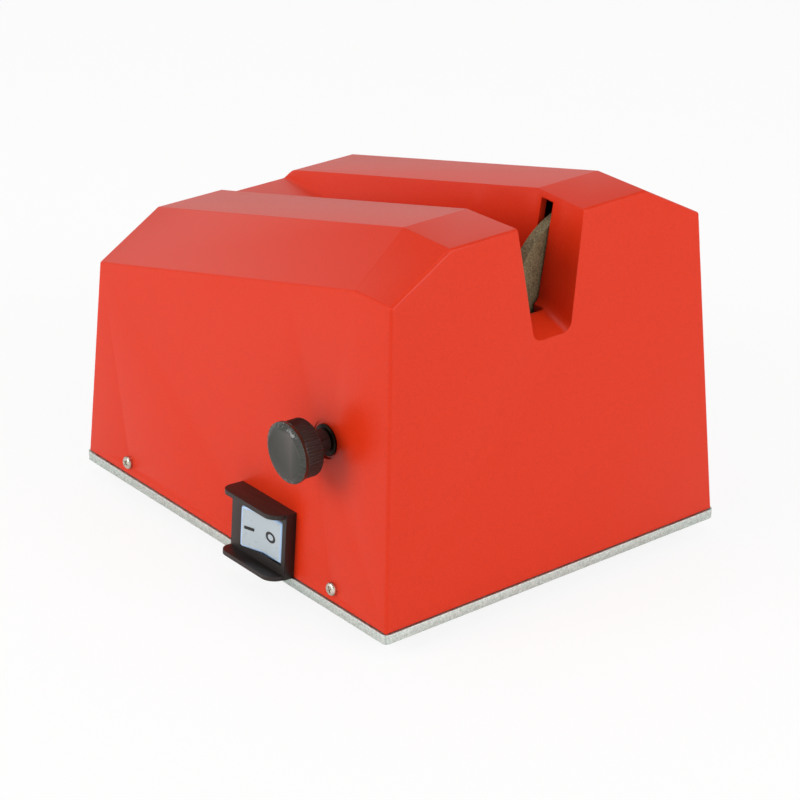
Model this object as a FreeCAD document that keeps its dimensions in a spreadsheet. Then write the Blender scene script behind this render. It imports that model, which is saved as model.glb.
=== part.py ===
import FreeCAD, Part
import math
import os
import Sketcher

# Electric knife sharpener: two abrasive wheels on parallel shafts overlap in a sloping trough, and a
# motor under the trough turns them opposite ways. A knob on the left side swings the left wheel's arm.
#
# Frame: +Z up, -Y the side that faces the user, -X the side with the switch and the knob. The origin is
# the centre of the base plate's underside, and the feet reach below it. Lengths are in millimetres.

doc = FreeCAD.newDocument("knife_sharpener")
Vector = FreeCAD.Vector
X_AXIS = Vector(1, 0, 0)
Y_AXIS = Vector(0, 1, 0)
Z_AXIS = Vector(0, 0, 1)
FAR = 400.0          # longer than the object, for cuts that go right through

# The driving dimensions. Angles are in degrees, heights are above the plate's underside.
SIZES = [
    # base plate and what it stands on
    ("plate_wide", 175.0),
    ("plate_deep", 207.0),
    ("plate_thick", 4.0),
    ("plate_corner", 2.5),
    # the works keep their places behind the plate's front edge: this far back is their own zero
    ("works_back", 103.5),
    ("foot_tall", 6.0),
    ("foot_top_radius", 11.0),
    ("foot_low_radius", 9.5),
    ("foot_inset", 17.0),
    ("foot_recess_radius", 5.0),
    ("foot_recess_deep", 3.2),
    # small fasteners and their clearances
    ("screw_radius", 2.0),
    ("screw_head_radius", 3.7),
    ("screw_head_tall", 2.6),
    ("screw_hole_slip", 0.25),
    ("thread_slip", 0.02),
    ("nut_across", 7.0),
    ("nut_tall", 3.2),
    ("screw_spare", 1.0),
    # painted cover
    ("cover_inset", 0.75),
    ("cover_tall", 147.3),
    ("cover_wall", 3.0),
    ("draft", 3.5),
    ("crease_back", 65.6),
    ("roof_slope", 14.25),
    ("bevel_half", 49.5),
    ("bevel_front_angle", 28.8),
    ("bevel_rear_angle", 31.5),
    ("bevel_flare", 0.9),
    ("edge_round", 1.4),
    # trough for the blade, as half widths at the front and rear edges of the plate
    ("trough_floor", 107.5),
    ("trough_front_half", 9.76),
    ("trough_rear_half", 14.9),
    ("trough_front_top_half", 16.7),
    ("trough_front_top", 153.2),
    ("trough_rear_top_half", 19.4),
    ("trough_rear_top", 108.7),
    ("trough_round", 4.5),
    ("lip_drop", 4.1),
    ("lip_long", 13.8),
    ("lip_front", 96.7),
    ("slot_top", 148.5),
    ("slot_gap", 0.9),
    ("floor_opening_half", 8.65),
    # abrasive wheels and how they sit
    ("wheel_radius", 35.0),
    ("wheel_thick", 5.4),
    ("wheel_gap", 0.4),
    ("wheel_plane", 74.9),
    ("wheel_spread", 34.1),
    ("wheel_height", 108.4),
    # spindles, bearings and what clamps the wheels
    ("shaft_radius", 4.0),
    ("shoulder_radius", 6.0),
    ("shoulder_long", 4.0),
    ("bore_slip", 0.03),
    ("flange_radius", 14.0),
    ("flange_thick", 3.0),
    ("spindle_nut_across", 13.0),
    ("spindle_nut_tall", 6.0),
    ("spindle_spare", 1.5),
    ("bearing_radius", 11.0),
    ("bearing_wide", 7.0),
    ("bearing_race", 2.2),
    ("seat_slip", 0.02),
    ("housing_radius", 15.0),
    ("housing_long", 24.0),
    ("housing_waist_radius", 9.0),
    ("pulley_clear", 3.6),
    # belts and pulleys
    ("pulley_radius", 12.0),
    ("pulley_flange_radius", 14.0),
    ("pulley_flange_thick", 1.0),
    ("belt_wide", 7.6),
    ("belt_side_gap", 0.2),
    ("belt_thick", 1.5),
    ("belt_slip", 0.2),
    # gears between the motor and the countershaft
    ("gear_module", 1.5),
    ("gear_teeth", 24.0),
    ("gear_wide", 8.0),
    ("gear_backlash", 0.16),
    ("gear_back", 14.0),
    # swing arm and the tube that it turns on
    ("pivot_radius", 14.0),
    ("pivot_slip", 0.05),
    ("arm_hub_radius", 19.5),
    ("arm_thick", 12.0),
    ("foot_plate_thick", 6.0),
    ("foot_plate_wide", 46.0),
    ("foot_plate_deep", 26.0),
    ("web_thick", 8.0),
    ("web_foot_wide", 34.0),
    # motor
    ("motor_height", 49.0),
    ("motor_front", 8.0),
    ("motor_radius", 36.0),
    ("motor_long", 84.0),
    ("motor_wall", 3.0),
    ("cap_thick", 8.0),
    ("cap_lip", 1.0),
    ("cap_hole_radius", 6.5),
    ("stator_bore_radius", 21.0),
    ("stator_long", 40.0),
    ("winding_long", 8.0),
    ("winding_inner_radius", 23.0),
    ("winding_gap", 1.0),
    ("rotor_gap", 0.4),
    ("rotor_long", 42.0),
    ("fan_radius", 27.0),
    ("fan_hub_radius", 8.0),
    ("fan_wide", 8.0),
    ("fan_disc", 1.6),
    ("fan_blades", 9.0),
    ("fan_blade_thick", 1.6),
    ("fan_gap", 2.0),
    ("cradle_wide", 66.0),
    ("cradle_top", 34.0),
    ("cradle_rib", 6.0),
    ("cradle_base", 4.0),
    ("cradle_ear", 12.0),
    ("cradle_ear_long", 12.0),
    # knob, its spindle and the nut that the arm carries
    ("knob_y", 59.9),
    ("knob_height", 69.7),
    ("knob_radius", 12.4),
    ("knob_neck_radius", 6.6),
    ("knob_rim_radius", 11.7),
    ("knob_neck_long", 8.0),
    ("knob_disc_thick", 10.8),
    ("knob_flange_thick", 2.6),
    ("knob_face_bevel", 1.2),
    ("knob_flutes", 60.0),
    ("flute_radius", 0.42),
    ("knob_bore_deep", 11.0),
    ("knob_gap", 0.4),
    ("bush_flange_radius", 7.4),
    ("bush_flange_thick", 1.2),
    ("bush_radius", 6.0),
    ("bush_long", 14.0),
    ("bush_nut_across", 17.0),
    ("bush_nut_tall", 4.0),
    ("spot_face_deep", 0.6),
    ("running_slip", 0.05),
    ("collar_radius", 8.0),
    ("collar_long", 6.0),
    ("collar_gap", 0.1),
    ("spindle_reach", 16.0),
    ("trunnion_radius", 7.0),
    ("thread_gap", 0.3),
    ("arm_window_radius", 5.2),
    # switch and its guard, on the left side
    ("switch_y", 28.8),
    ("switch_up", 15.1),
    ("guard_y", 26.3),
    ("guard_long", 35.8),
    ("guard_tall", 28.6),
    ("guard_front", 5.0),
    ("guard_round", 1.2),
    ("wing_thick", 1.9),
    ("wing_out", 11.2),
    ("wing_flat", 15.5),
    ("wing_tip_round", 4.5),
    ("wing_end_gap", 2.0),
    ("rocker_long", 23.0),
    ("rocker_tall", 18.0),
    ("rocker_end_gap", 0.22),
    ("rocker_side_gap", 0.5),
    ("rocker_throw", 18.0),
    ("rocker_pivot_deep", 2.4),
    ("rocker_flare", 0.6),
    ("rocker_skirt", 2.7),
    ("rocker_round", 1.3),
    ("stem_long", 13.0),
    ("stem_tall", 13.0),
    ("stem_deep", 6.0),
    ("stem_gap", 0.5),
    ("rocker_pin_radius", 1.5),
    ("rocker_pin_long", 1.6),
    ("switch_deep", 22.0),
    ("switch_slip", 0.15),
    ("terminal_long", 7.0),
    ("terminal_wide", 4.8),
    ("terminal_thick", 0.8),
    ("terminal_pitch", 8.0),
    # blocks that hold the cover's side screws
    ("side_screw_up", 5.95),
    ("side_screw_front", 69.1),
    ("side_screw_rear", 72.1),
    ("side_screw_long", 12.0),
    ("side_screw_radius", 1.5),
    ("side_head_radius", 2.8),
    ("side_head_tall", 1.9),
    ("block_tall", 10.0),
    ("block_thick", 11.0),
    ("block_long", 24.0),
    ("block_end", 7.0),
    ("block_screw_apart", 10.0),
    ("block_screw_long", 11.0),
    ("countersink", 2.0),
    # electrical pieces on the plate and the lead's grommet in the rear wall
    ("capacitor_radius", 14.0),
    ("capacitor_long", 52.0),
    ("capacitor_x", 59.5),
    ("capacitor_y", -4.0),
    ("clip_thick", 1.5),
    ("clip_wide", 12.0),
    ("clip_tab", 11.0),
    ("clip_slip", 0.1),
    ("terminal_block_x", 60.0),
    ("terminal_block_y", 38.0),
    ("terminal_block_long", 34.0),
    ("terminal_block_wide", 17.0),
    ("terminal_block_tall", 13.0),
    ("terminal_block_poles", 3.0),
    ("grommet_x", 55.0),
    ("grommet_height", 22.0),
    ("grommet_radius", 7.0),
    ("grommet_rim", 2.5),
    ("grommet_rim_thick", 1.8),
    ("grommet_bore", 4.0),
    # air slots in the plate behind the motor
    ("vent_long", 46.0),
    ("vent_wide", 3.6),
    ("vent_pitch", 7.0),
    ("vent_count", 3.0),
    ("vent_first", 77.0),
]

dim = doc.addObject("Spreadsheet::Sheet", "dim")
for row, (alias, value) in enumerate(SIZES, 1):
    dim.set("A%d" % row, alias)
    dim.set("B%d" % row, str(value))
    dim.setAlias("B%d" % row, alias)
doc.recompute()

# Places that follow from the sizes, each worked out once from the sheet.
calc = doc.addObject("App::VarSet", "calc")


def derive(name, rule):
    """Add one derived value to calc, bound to the sheet."""
    calc.addProperty("App::PropertyFloat", name)
    calc.setExpression(name, rule)


derive("base_half_x", "dim.plate_wide / 2 - dim.cover_inset")
derive("base_half_y", "dim.plate_deep / 2 - dim.cover_inset")
derive("works_y", "dim.works_back - dim.plate_deep / 2")
derive("deeper", "dim.plate_deep - 2 * dim.works_back")
derive("lean", "tan(dim.draft * 1 deg)")
derive("crease_y", "calc.works_y - dim.crease_back")
derive("wall_across", "dim.cover_wall / cos(dim.draft * 1 deg)")
derive("left_front", "calc.works_y - (dim.wheel_plane + dim.wheel_gap / 2 + dim.wheel_thick)")
derive("right_front", "calc.works_y - (dim.wheel_plane - dim.wheel_gap / 2)")
derive("to_housing", "dim.wheel_thick + dim.flange_thick + dim.shoulder_long")
derive("left_housing", "calc.left_front + calc.to_housing")
derive("right_housing", "calc.right_front + calc.to_housing")
derive("to_pulley", "calc.to_housing + dim.housing_long + dim.pulley_clear")
derive("pulley_wide", "dim.belt_wide + 2 * dim.belt_side_gap + 2 * dim.pulley_flange_thick")
derive("left_pulley", "calc.left_front + calc.to_pulley")
derive("right_pulley", "calc.right_front + calc.to_pulley")
derive("gear_radius", "dim.gear_module * dim.gear_teeth / 2")
derive("pivot_height", "dim.motor_height - sqrt((2 * calc.gear_radius) ^ 2 - dim.wheel_spread ^ 2)")
derive("arm_y", "calc.works_y - dim.knob_y")
derive("gear_y", "calc.works_y - (dim.gear_back + dim.gear_wide)")
derive("motor_y", "calc.works_y - dim.motor_front")
derive("motor_rear", "calc.motor_y + dim.motor_long + calc.deeper")
derive("stator_span", "dim.stator_long + calc.deeper")
derive("rotor_span", "dim.rotor_long + calc.deeper")
derive("capacitor_start", "calc.works_y + dim.capacitor_y")
derive("terminals_at", "calc.works_y + dim.terminal_block_y")
derive("side_front_y", "calc.works_y - dim.side_screw_front")
derive("side_rear_y", "dim.side_screw_rear - calc.works_y")
derive("vent_start", "dim.vent_first - calc.works_y")
derive("switch_at", "calc.works_y - dim.switch_y")
derive("knob_wall_x", "-(calc.base_half_x - (dim.knob_height - dim.plate_thick) * calc.lean)")
derive("bush_seat_x", "calc.knob_wall_x + dim.spot_face_deep")
derive("switch_height", "dim.plate_thick + dim.switch_up")
derive("switch_x", "-(calc.base_half_x - dim.switch_up * calc.lean)")
derive("guard_at", "calc.works_y - dim.guard_y")
derive("guard_height", "dim.plate_thick + dim.guard_tall / 2")
derive("guard_x", "-(calc.base_half_x - dim.guard_tall / 2 * calc.lean)")
derive("rocker_centre", "(dim.guard_front + dim.rocker_pivot_deep) / cos(dim.rocker_throw * 0.5 deg)")
derive("rocker_end", "calc.rocker_centre + dim.rocker_long / 2 * tan(dim.rocker_throw * 0.5 deg)")
derive("rocker_reach", "dim.rocker_long / 2 * cos(dim.rocker_throw * 0.5 deg)"
       " + calc.rocker_end * sin(dim.rocker_throw * 0.5 deg)")
derive("opening_long", "2 * (calc.rocker_reach + dim.rocker_end_gap)")
derive("opening_tall", "dim.rocker_tall + 2 * dim.rocker_side_gap")
derive("rear_face_y", "calc.base_half_y - (dim.grommet_height - dim.plate_thick) * calc.lean")
doc.recompute()


def number(name):
    """The value of a size or of a derived place."""
    if name in calc.PropertiesList:
        return float(getattr(calc, name))
    return float(dim.get(name))


def origin_plane(body, role):
    return [feature for feature in body.Origin.OriginFeatures if feature.Role == role][0]


def new_body(label):
    body = doc.addObject("PartDesign::Body", label)
    body.Label = label
    return body


def new_sketch(body, role, offset=None):
    sketch = body.newObject("Sketcher::SketchObject", body.Name + "_sketch")
    sketch.AttachmentSupport = [(origin_plane(body, role), "")]
    sketch.MapMode = "FlatFace"
    if offset:
        sketch.setExpression("AttachmentOffset.Base.z", offset)
    return sketch


def hold_point(sketch, index, end, across, along, here):
    """Bind one point of a sketch to two expressions."""
    for kind, rule, value in (("DistanceX", across, here.x), ("DistanceY", along, here.y)):
        number_of = sketch.addConstraint(Sketcher.Constraint(kind, -1, 1, index, end, value))
        sketch.setExpression("Constraints[%d]" % number_of, rule)


def polygon(sketch, points):
    """A closed outline whose corners are pairs of expressions."""
    first = sketch.GeometryCount
    count = len(points)
    starts = []
    for i in range(count):
        turn = 2 * math.pi * i / count
        starts.append(Vector(10 * math.cos(turn), 10 * math.sin(turn), 0))
    for i in range(count):
        sketch.addGeometry(Part.LineSegment(starts[i], starts[(i + 1) % count]), False)
    for i in range(count):
        after = first + (i + 1) % count
        sketch.addConstraint(Sketcher.Constraint("Coincident", first + i, 2, after, 1))
    for i, (across, along) in enumerate(points):
        hold_point(sketch, first + i, 1, across, along, starts[i])
    return sketch


def box_outline(sketch, low_x, low_y, high_x, high_y):
    return polygon(sketch, [(low_x, low_y), (high_x, low_y), (high_x, high_y), (low_x, high_y)])


def circle(sketch, across, along, radius):
    start = Part.Circle(Vector(1, 1, 0), Z_AXIS, 1.0)
    index = sketch.addGeometry(start, False)
    hold_point(sketch, index, 3, across, along, Vector(1, 1, 0))
    number_of = sketch.addConstraint(Sketcher.Constraint("Radius", index, 1.0))
    sketch.setExpression("Constraints[%d]" % number_of, radius)
    return sketch


def hexagon(sketch, across_flats):
    points = []
    for i in range(6):
        turn = "%d deg" % (60 * i + 30)
        points.append(("(%s) / sqrt(3) * cos(%s)" % (across_flats, turn),
                       "(%s) / sqrt(3) * sin(%s)" % (across_flats, turn)))
    return polygon(sketch, points)


def pad(body, sketch, length, both_ways=False, back=False, taper=None):
    feature = body.newObject("PartDesign::Pad", body.Name + "_pad")
    feature.Profile = sketch
    feature.SideType = "Symmetric" if both_ways else "One side"
    feature.Reversed = back
    feature.setExpression("Length", length)
    if taper:
        feature.setExpression("TaperAngle", taper)
    doc.recompute()
    return feature


def pocket(body, sketch, length, both_ways=False, back=False):
    feature = body.newObject("PartDesign::Pocket", body.Name + "_pocket")
    feature.Profile = sketch
    feature.SideType = "Symmetric" if both_ways else "One side"
    feature.Reversed = back
    feature.setExpression("Length", length)
    doc.recompute()
    return feature


def dress(body, kind, size, choose, size_name="Radius"):
    """Fillet or chamfer the edges of the body that choose() picks."""
    base = body.Tip
    names = []
    for i, edge in enumerate(base.Shape.Edges, 1):
        if choose(edge):
            names.append("Edge%d" % i)
    feature = body.newObject("PartDesign::" + kind, body.Name + "_" + kind.lower())
    feature.Base = (base, names)
    feature.setExpression(size_name, size)
    doc.recompute()
    return feature


def turned(label, axis, profile):
    """A piece turned on a lathe. profile holds (along the axis, radius) pairs of expressions."""
    body = new_body(label)
    if axis == "X":
        sketch = new_sketch(body, "XY_Plane")
        polygon(sketch, [(along, radius) for along, radius in profile])
    else:
        sketch = new_sketch(body, "XY_Plane" if axis == "Y" else "XZ_Plane")
        polygon(sketch, [(radius, along) for along, radius in profile])
    feature = body.newObject("PartDesign::Revolution", label + "_turn")
    feature.Profile = sketch
    feature.ReferenceAxis = (sketch, ["H_Axis" if axis == "X" else "V_Axis"])
    feature.Angle = 360
    doc.recompute()
    return body


def place(piece, x="0", y="0", z="0", axis=None, turn=None):
    """Bind where a piece stands, and how far it is turned about an axis."""
    if axis is not None:
        piece.Placement = FreeCAD.Placement(Vector(), FreeCAD.Rotation(axis, 1.0))
        piece.setExpression("Placement.Rotation.Angle", turn)
    piece.setExpression("Placement.Base.x", x)
    piece.setExpression("Placement.Base.y", y)
    piece.setExpression("Placement.Base.z", z)
    return piece


def feature_of(label, shape):
    """A piece whose shape is worked out from the sizes in this script."""
    piece = doc.addObject("Part::Feature", label)
    piece.Label = label
    piece.Shape = shape
    return piece


def spot(x, y, z, axis=Z_AXIS, angle=0.0):
    return FreeCAD.Placement(Vector(x, y, z), FreeCAD.Rotation(axis, angle))


def group_of(label, source, spots):
    """Copies of one small piece, as a group of separate solids."""
    doc.recompute()
    copies = []
    for where in spots:
        copy = source.Shape.copy()
        copy.Placement = where.multiply(copy.Placement)
        copies.append(copy)
    return feature_of(label, Part.makeCompound(copies))


def part_box(name, low, size, axis=None, turn=None):
    """A box between expressions: its low corner and its size."""
    box = doc.addObject("Part::Box", name)
    for edge, rule in zip(("Length", "Width", "Height"), size):
        box.setExpression(edge, rule)
    return place(box, *low, axis=axis, turn=turn)


def part_cylinder(name, radius, length, where, axis, angle):
    """A cylinder from a point along a turned axis."""
    rod = doc.addObject("Part::Cylinder", name)
    rod.setExpression("Radius", radius)
    rod.setExpression("Height", length)
    rod.Placement = FreeCAD.Placement(Vector(), FreeCAD.Rotation(axis, angle))
    rod.setExpression("Placement.Base.x", where[0])
    rod.setExpression("Placement.Base.y", where[1])
    rod.setExpression("Placement.Base.z", where[2])
    return rod


def joined(name, pieces):
    fuse = doc.addObject("Part::MultiFuse", name)
    fuse.Shapes = pieces
    return fuse


def cut(name, base, tool):
    result = doc.addObject("Part::Cut", name)
    result.Label = name
    result.Base = base
    result.Tool = tool
    doc.recompute()
    return result


# Small fasteners, made once and copied

def pan_screw(name, long_rule, radius="dim.screw_radius", head="dim.screw_head_radius",
              tall="dim.screw_head_tall"):
    """A round-headed screw along Z, with its seat at the origin and its head above."""
    return turned(name, "Z", [
        (long_rule.join(("-(", ")")), "0"),
        (long_rule.join(("-(", ")")), radius + " * 0.7"),
        (long_rule.join(("-(", ") + ")) + radius + " * 0.3", radius),
        ("0", radius),
        ("0", head),
        (tall + " * 0.4", head),
        (tall + " * 0.8", head + " * 0.75"),
        (tall, head + " * 0.35"),
        (tall, "0"),
    ])


def hex_nut(name, across_flats, tall, bore):
    body = new_body(name)
    sketch = new_sketch(body, "XY_Plane")
    hexagon(sketch, across_flats)
    circle(sketch, "0", "0", bore)
    pad(body, sketch, tall)
    return body


# Base plate

foot_x = number("plate_wide") / 2 - number("foot_inset")
foot_y = number("plate_deep") / 2 - number("foot_inset")
foot_spots = [(x, y) for x in (-foot_x, foot_x) for y in (-foot_y, foot_y)]


def block_bolt_x():
    """How far from the middle the screws under the cover's blocks stand."""
    inner = number("base_half_x") - number("wall_across")
    return inner - number("block_thick") / 2


def block_rows():
    """The side screws' y places, and which way each block runs from there."""
    return [(number("side_front_y"), 1), (number("side_rear_y"), -1)]


def pedestal_bolts(x_sign, housing_y):
    """Screw places on a pedestal's foot plate."""
    reach_x = number("foot_plate_wide") / 2 - number("screw_head_radius") - 1
    middle_y = housing_y + number("housing_long") - number("web_thick") / 2
    reach_y = number("foot_plate_deep") / 2 - number("screw_head_radius") - 1
    spots = []
    for across in (-reach_x, reach_x):
        for along in (-reach_y, reach_y):
            spots.append((x_sign * number("wheel_spread") + across, middle_y + along))
    return spots


def cradle_bolts():
    reach_x = number("cradle_wide") / 2 + number("cradle_ear") / 2
    from_end = number("cap_thick") + number("cradle_ear_long") / 2
    ends = [number("motor_y") + from_end, number("motor_rear") - from_end]
    return [(x, y) for x in (-reach_x, reach_x) for y in ends]


def clip_bolts():
    x = number("capacitor_x") - number("capacitor_radius") - number("clip_tab") / 2
    y = number("capacitor_start") + number("capacitor_long") / 2
    return [(x, y)]


top_bolts = (pedestal_bolts(-1, number("left_housing")) + pedestal_bolts(1, number("right_housing"))
             + cradle_bolts() + clip_bolts())
block_bolts = []
for side in (-1, 1):
    for screw_y, inward in block_rows():
        block_bolts.append((side * block_bolt_x(), screw_y + inward * number("block_screw_apart")))

plate_blank = new_body("plate_blank")
outline = new_sketch(plate_blank, "XY_Plane")
box_outline(outline, "-dim.plate_wide / 2", "-dim.plate_deep / 2", "dim.plate_wide / 2",
            "dim.plate_deep / 2")
pad(plate_blank, outline, "dim.plate_thick")
dress(plate_blank, "Fillet", "dim.plate_corner", lambda edge: edge.BoundBox.ZLength > 1)
air = new_sketch(plate_blank, "XY_Plane", "dim.plate_thick")
box_outline(air, "-dim.vent_long / 2", "calc.vent_start - dim.vent_wide / 2", "dim.vent_long / 2",
            "calc.vent_start + dim.vent_wide / 2")
first_vent = pocket(plate_blank, air, "dim.plate_thick")
vents = plate_blank.newObject("PartDesign::LinearPattern", "vents")
vents.Originals = [first_vent]
vents.Direction = (air, ["V_Axis"])
vents.setExpression("Length", "dim.vent_pitch * (dim.vent_count - 1)")
vents.setExpression("Occurrences", "dim.vent_count")
plate_blank.Tip = vents
doc.recompute()

holes = []
plain = number("screw_radius") + number("screw_hole_slip")
tapped = number("screw_radius") + number("thread_slip")
thick = number("plate_thick")
for x, y in foot_spots:
    holes.append(Part.makeCylinder(plain, thick + 2, Vector(x, y, -1)))
for x, y in top_bolts:
    holes.append(Part.makeCylinder(tapped, thick + 2, Vector(x, y, -1)))
for x, y in block_bolts:
    sink = number("countersink")
    holes.append(Part.makeCylinder(plain, thick + 2, Vector(x, y, -1)))
    holes.append(Part.makeCone(plain + sink, plain, sink, Vector(x, y, 0)))
plate_holes = feature_of("plate_holes", Part.makeCompound(holes))
base_plate = cut("base_plate", plate_blank, plate_holes)

# Feet and their screws

foot = turned("one_foot", "Z", [
    ("0", "dim.screw_radius + dim.screw_hole_slip"),
    ("0", "dim.foot_top_radius"),
    ("-dim.foot_tall + 0.8", "dim.foot_low_radius"),
    ("-dim.foot_tall", "dim.foot_low_radius - 0.8"),
    ("-dim.foot_tall", "dim.foot_recess_radius"),
    ("-dim.foot_tall + dim.foot_recess_deep", "dim.foot_recess_radius"),
    ("-dim.foot_tall + dim.foot_recess_deep", "dim.screw_radius + dim.screw_hole_slip"),
])
rubber_feet = group_of("rubber_feet", foot, [spot(x, y, 0) for x, y in foot_spots])

foot_seat = -number("foot_tall") + number("foot_recess_deep")
foot_screw = pan_screw("one_foot_screw", "dim.foot_tall - dim.foot_recess_deep + dim.plate_thick"
                       " + dim.nut_tall + dim.screw_spare")
foot_screws = group_of("foot_screws", foot_screw,
                       [spot(x, y, foot_seat, X_AXIS, 180) for x, y in foot_spots])
small_nut = hex_nut("one_small_nut", "dim.nut_across", "dim.nut_tall",
                    "dim.screw_radius + dim.thread_slip")
foot_nuts = group_of("foot_nuts", small_nut, [spot(x, y, thick) for x, y in foot_spots])

# Cover: a drafted housing with a level land at the front, a roof that falls to the rear and a bevel
# along each side. The outside and the hollow are the same form, one wall apart.


def cover_form(name, inset, drop, below):
    """The housing's convex form, moved inwards by inset across the walls and drop in height."""
    body = new_body(name)
    half_x = "(calc.base_half_x - %s + %s * calc.lean)" % (inset, below)
    half_y = "(calc.base_half_y - %s + %s * calc.lean)" % (inset, below)
    ground = new_sketch(body, "XY_Plane", "-(%s)" % below)
    box_outline(ground, "-" + half_x, "-" + half_y, half_x, half_y)
    pad(body, ground, "dim.cover_tall + 10 + %s" % below, taper="-dim.draft")
    roof = new_sketch(body, "YZ_Plane")
    level = "(dim.cover_tall - %s)" % drop
    polygon(roof, [
        ("-%g" % FAR, level),
        ("calc.crease_y", level),
        ("%g" % FAR, "%s - (%g - calc.crease_y) * tan(dim.roof_slope * 1 deg)" % (level, FAR)),
        ("%g" % FAR, "dim.cover_tall + %g" % FAR),
        ("-%g" % FAR, "dim.cover_tall + %g" % FAR),
    ])
    pocket(body, roof, "%g" % FAR, both_ways=True)
    cuts = []
    for angle, back in (("dim.bevel_front_angle", False), ("dim.bevel_rear_angle", True)):
        section = new_sketch(body, "XZ_Plane", "-calc.crease_y")
        ridge = "(dim.bevel_half - %s * tan(%s * 0.5 deg))" % (drop, angle)
        fall = "tan(%s * 1 deg)" % angle
        polygon(section, [
            (ridge, level),
            ("%s + %g" % (ridge, FAR), "%s - %g * %s" % (level, FAR, fall)),
            ("%s + %g" % (ridge, FAR), "%s + %g" % (level, FAR)),
            ("%s - %g / %s" % (ridge, FAR, fall), "%s + %g" % (level, FAR)),
        ])
        bevel = pocket(body, section, "%g" % (2 * FAR), both_ways=True)
        if back:
            bevel.UseCustomVector = True
            bevel.setExpression("Direction.x", "tan(dim.bevel_flare * 1 deg)")
            bevel.setExpression("Direction.y", "1")
            bevel.setExpression("Direction.z", "-tan(dim.roof_slope * 1 deg)")
            doc.recompute()
        cuts.append(bevel)
    mirror = body.newObject("PartDesign::Mirrored", name + "_mirror")
    mirror.Originals = cuts
    mirror.MirrorPlane = (origin_plane(body, "YZ_Plane"), [""])
    body.Tip = mirror
    place(body, z="dim.plate_thick")
    doc.recompute()
    return body


cover_skin = cover_form("cover_skin", "0", "0", "0")
dress(cover_skin, "Fillet", "dim.edge_round",
      lambda edge: edge.BoundBox.ZMax > number("plate_thick") + 1)
cover_hollow = cover_form("cover_hollow", "calc.wall_across", "dim.cover_wall", "1")


def trough_section(y, floor_drop, grow):
    """The trough's cross section at one y, or its casting's when grow is the wall."""
    reach = number("plate_deep") / 2
    share = (y + reach) / (2 * reach)

    def between(front, rear):
        return number(front) + (number(rear) - number(front)) * share

    floor = number("trough_floor")
    low = Vector(between("trough_front_half", "trough_rear_half"), y, floor)
    high = Vector(between("trough_front_top_half", "trough_rear_top_half"), y,
                  between("trough_front_top", "trough_rear_top"))
    lean = (high - low).normalize()
    outward = Vector(lean.z, 0, -lean.x)
    base = floor - floor_drop - grow
    high = low + (high - low) * TROUGH_STRETCH + outward * grow + lean * grow
    side = low + outward * grow
    corner = side + lean * ((base - side.z) / lean.z)
    radius = number("trough_round") + grow
    reach_back = radius * math.tan((math.pi / 2 - math.atan2(lean.x, lean.z)) / 2)
    on_floor = corner - X_AXIS * reach_back
    on_wall = corner + lean * reach_back
    centre = on_floor + Z_AXIS * radius
    middle = centre + (corner - centre).normalize() * radius

    def other(point):
        return Vector(-point.x, point.y, point.z)

    return Part.Wire([
        Part.makeLine(high, on_wall),
        Part.Arc(on_wall, middle, on_floor).toShape(),
        Part.makeLine(on_floor, other(on_floor)),
        Part.Arc(other(on_floor), other(middle), other(on_wall)).toShape(),
        Part.makeLine(other(on_wall), other(high)),
        Part.makeLine(other(high), high),
    ])


TROUGH_STRETCH = 1.3         # the cutting form stands this much taller than its stated top
TROUGH_PAST = 7.0            # and starts this far in front of the plate


def trough_loft(name, grow):
    rear = number("plate_deep") / 2
    front = rear + TROUGH_PAST
    lip_back = number("lip_front") - number("lip_long") - number("works_y")
    steep = number("lip_drop") / number("lip_long")
    sections = []
    for y, drop in ((-front, steep * (front - lip_back)), (-lip_back, 0.0), (rear, 0.0)):
        wire = feature_of("%s_section" % name, trough_section(y, drop, grow))
        sections.append(wire)
    loft = doc.addObject("Part::Loft", name)
    loft.Sections = sections
    loft.Solid = True
    loft.Ruled = True
    doc.recompute()
    return loft


trough_casting = trough_loft("trough_casting", number("cover_wall"))
trough_space = trough_loft("trough_space", 0.0)
cover_cavity = cut("cover_cavity", cover_hollow, trough_casting)

slot_low = "(dim.trough_floor - 3 * dim.cover_wall)"
slot_reach = "(dim.trough_rear_top_half + 2 * dim.cover_wall)"
slot_size = (slot_reach, "dim.wheel_thick + 2 * dim.slot_gap", "dim.slot_top - %s" % slot_low)
right_slot = part_box("right_slot", ("0", "calc.right_front - dim.slot_gap", slot_low), slot_size)
left_slot = part_box("left_slot", ("-" + slot_reach, "calc.left_front - dim.slot_gap", slot_low),
                     slot_size)
floor_opening = part_box(
    "floor_opening",
    ("-dim.floor_opening_half", "calc.left_front - dim.slot_gap", slot_low),
    ("2 * dim.floor_opening_half", "2 * dim.wheel_thick + dim.wheel_gap + 2 * dim.slot_gap",
     "dim.trough_floor + dim.trough_round - %s" % slot_low))

knob_hole = part_cylinder("knob_hole", "dim.bush_radius + dim.screw_hole_slip", "40",
                          ("calc.knob_wall_x - 10", "calc.arm_y", "dim.knob_height"), Y_AXIS, 90)
knob_spot_face = part_cylinder("knob_spot_face", "dim.bush_flange_radius + dim.screw_hole_slip",
                               "20", ("calc.bush_seat_x - 20", "calc.arm_y", "dim.knob_height"),
                               Y_AXIS, 90)
draft_sin = "sin(dim.draft * 1 deg)"
draft_cos = "cos(dim.draft * 1 deg)"
switch_hole = part_box(
    "switch_hole",
    ("calc.switch_x - 10 * %s - calc.opening_tall / 2 * %s" % (draft_cos, draft_sin),
     "calc.switch_at - calc.opening_long / 2",
     "calc.switch_height - calc.opening_tall / 2 * %s + 10 * %s" % (draft_cos, draft_sin)),
    ("30", "calc.opening_long", "calc.opening_tall"), axis=Y_AXIS, turn="dim.draft")
grommet_hole = part_cylinder("grommet_hole", "dim.grommet_radius", "40",
                             ("-dim.grommet_x", "calc.rear_face_y + 20", "dim.grommet_height"),
                             X_AXIS, 90)


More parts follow.
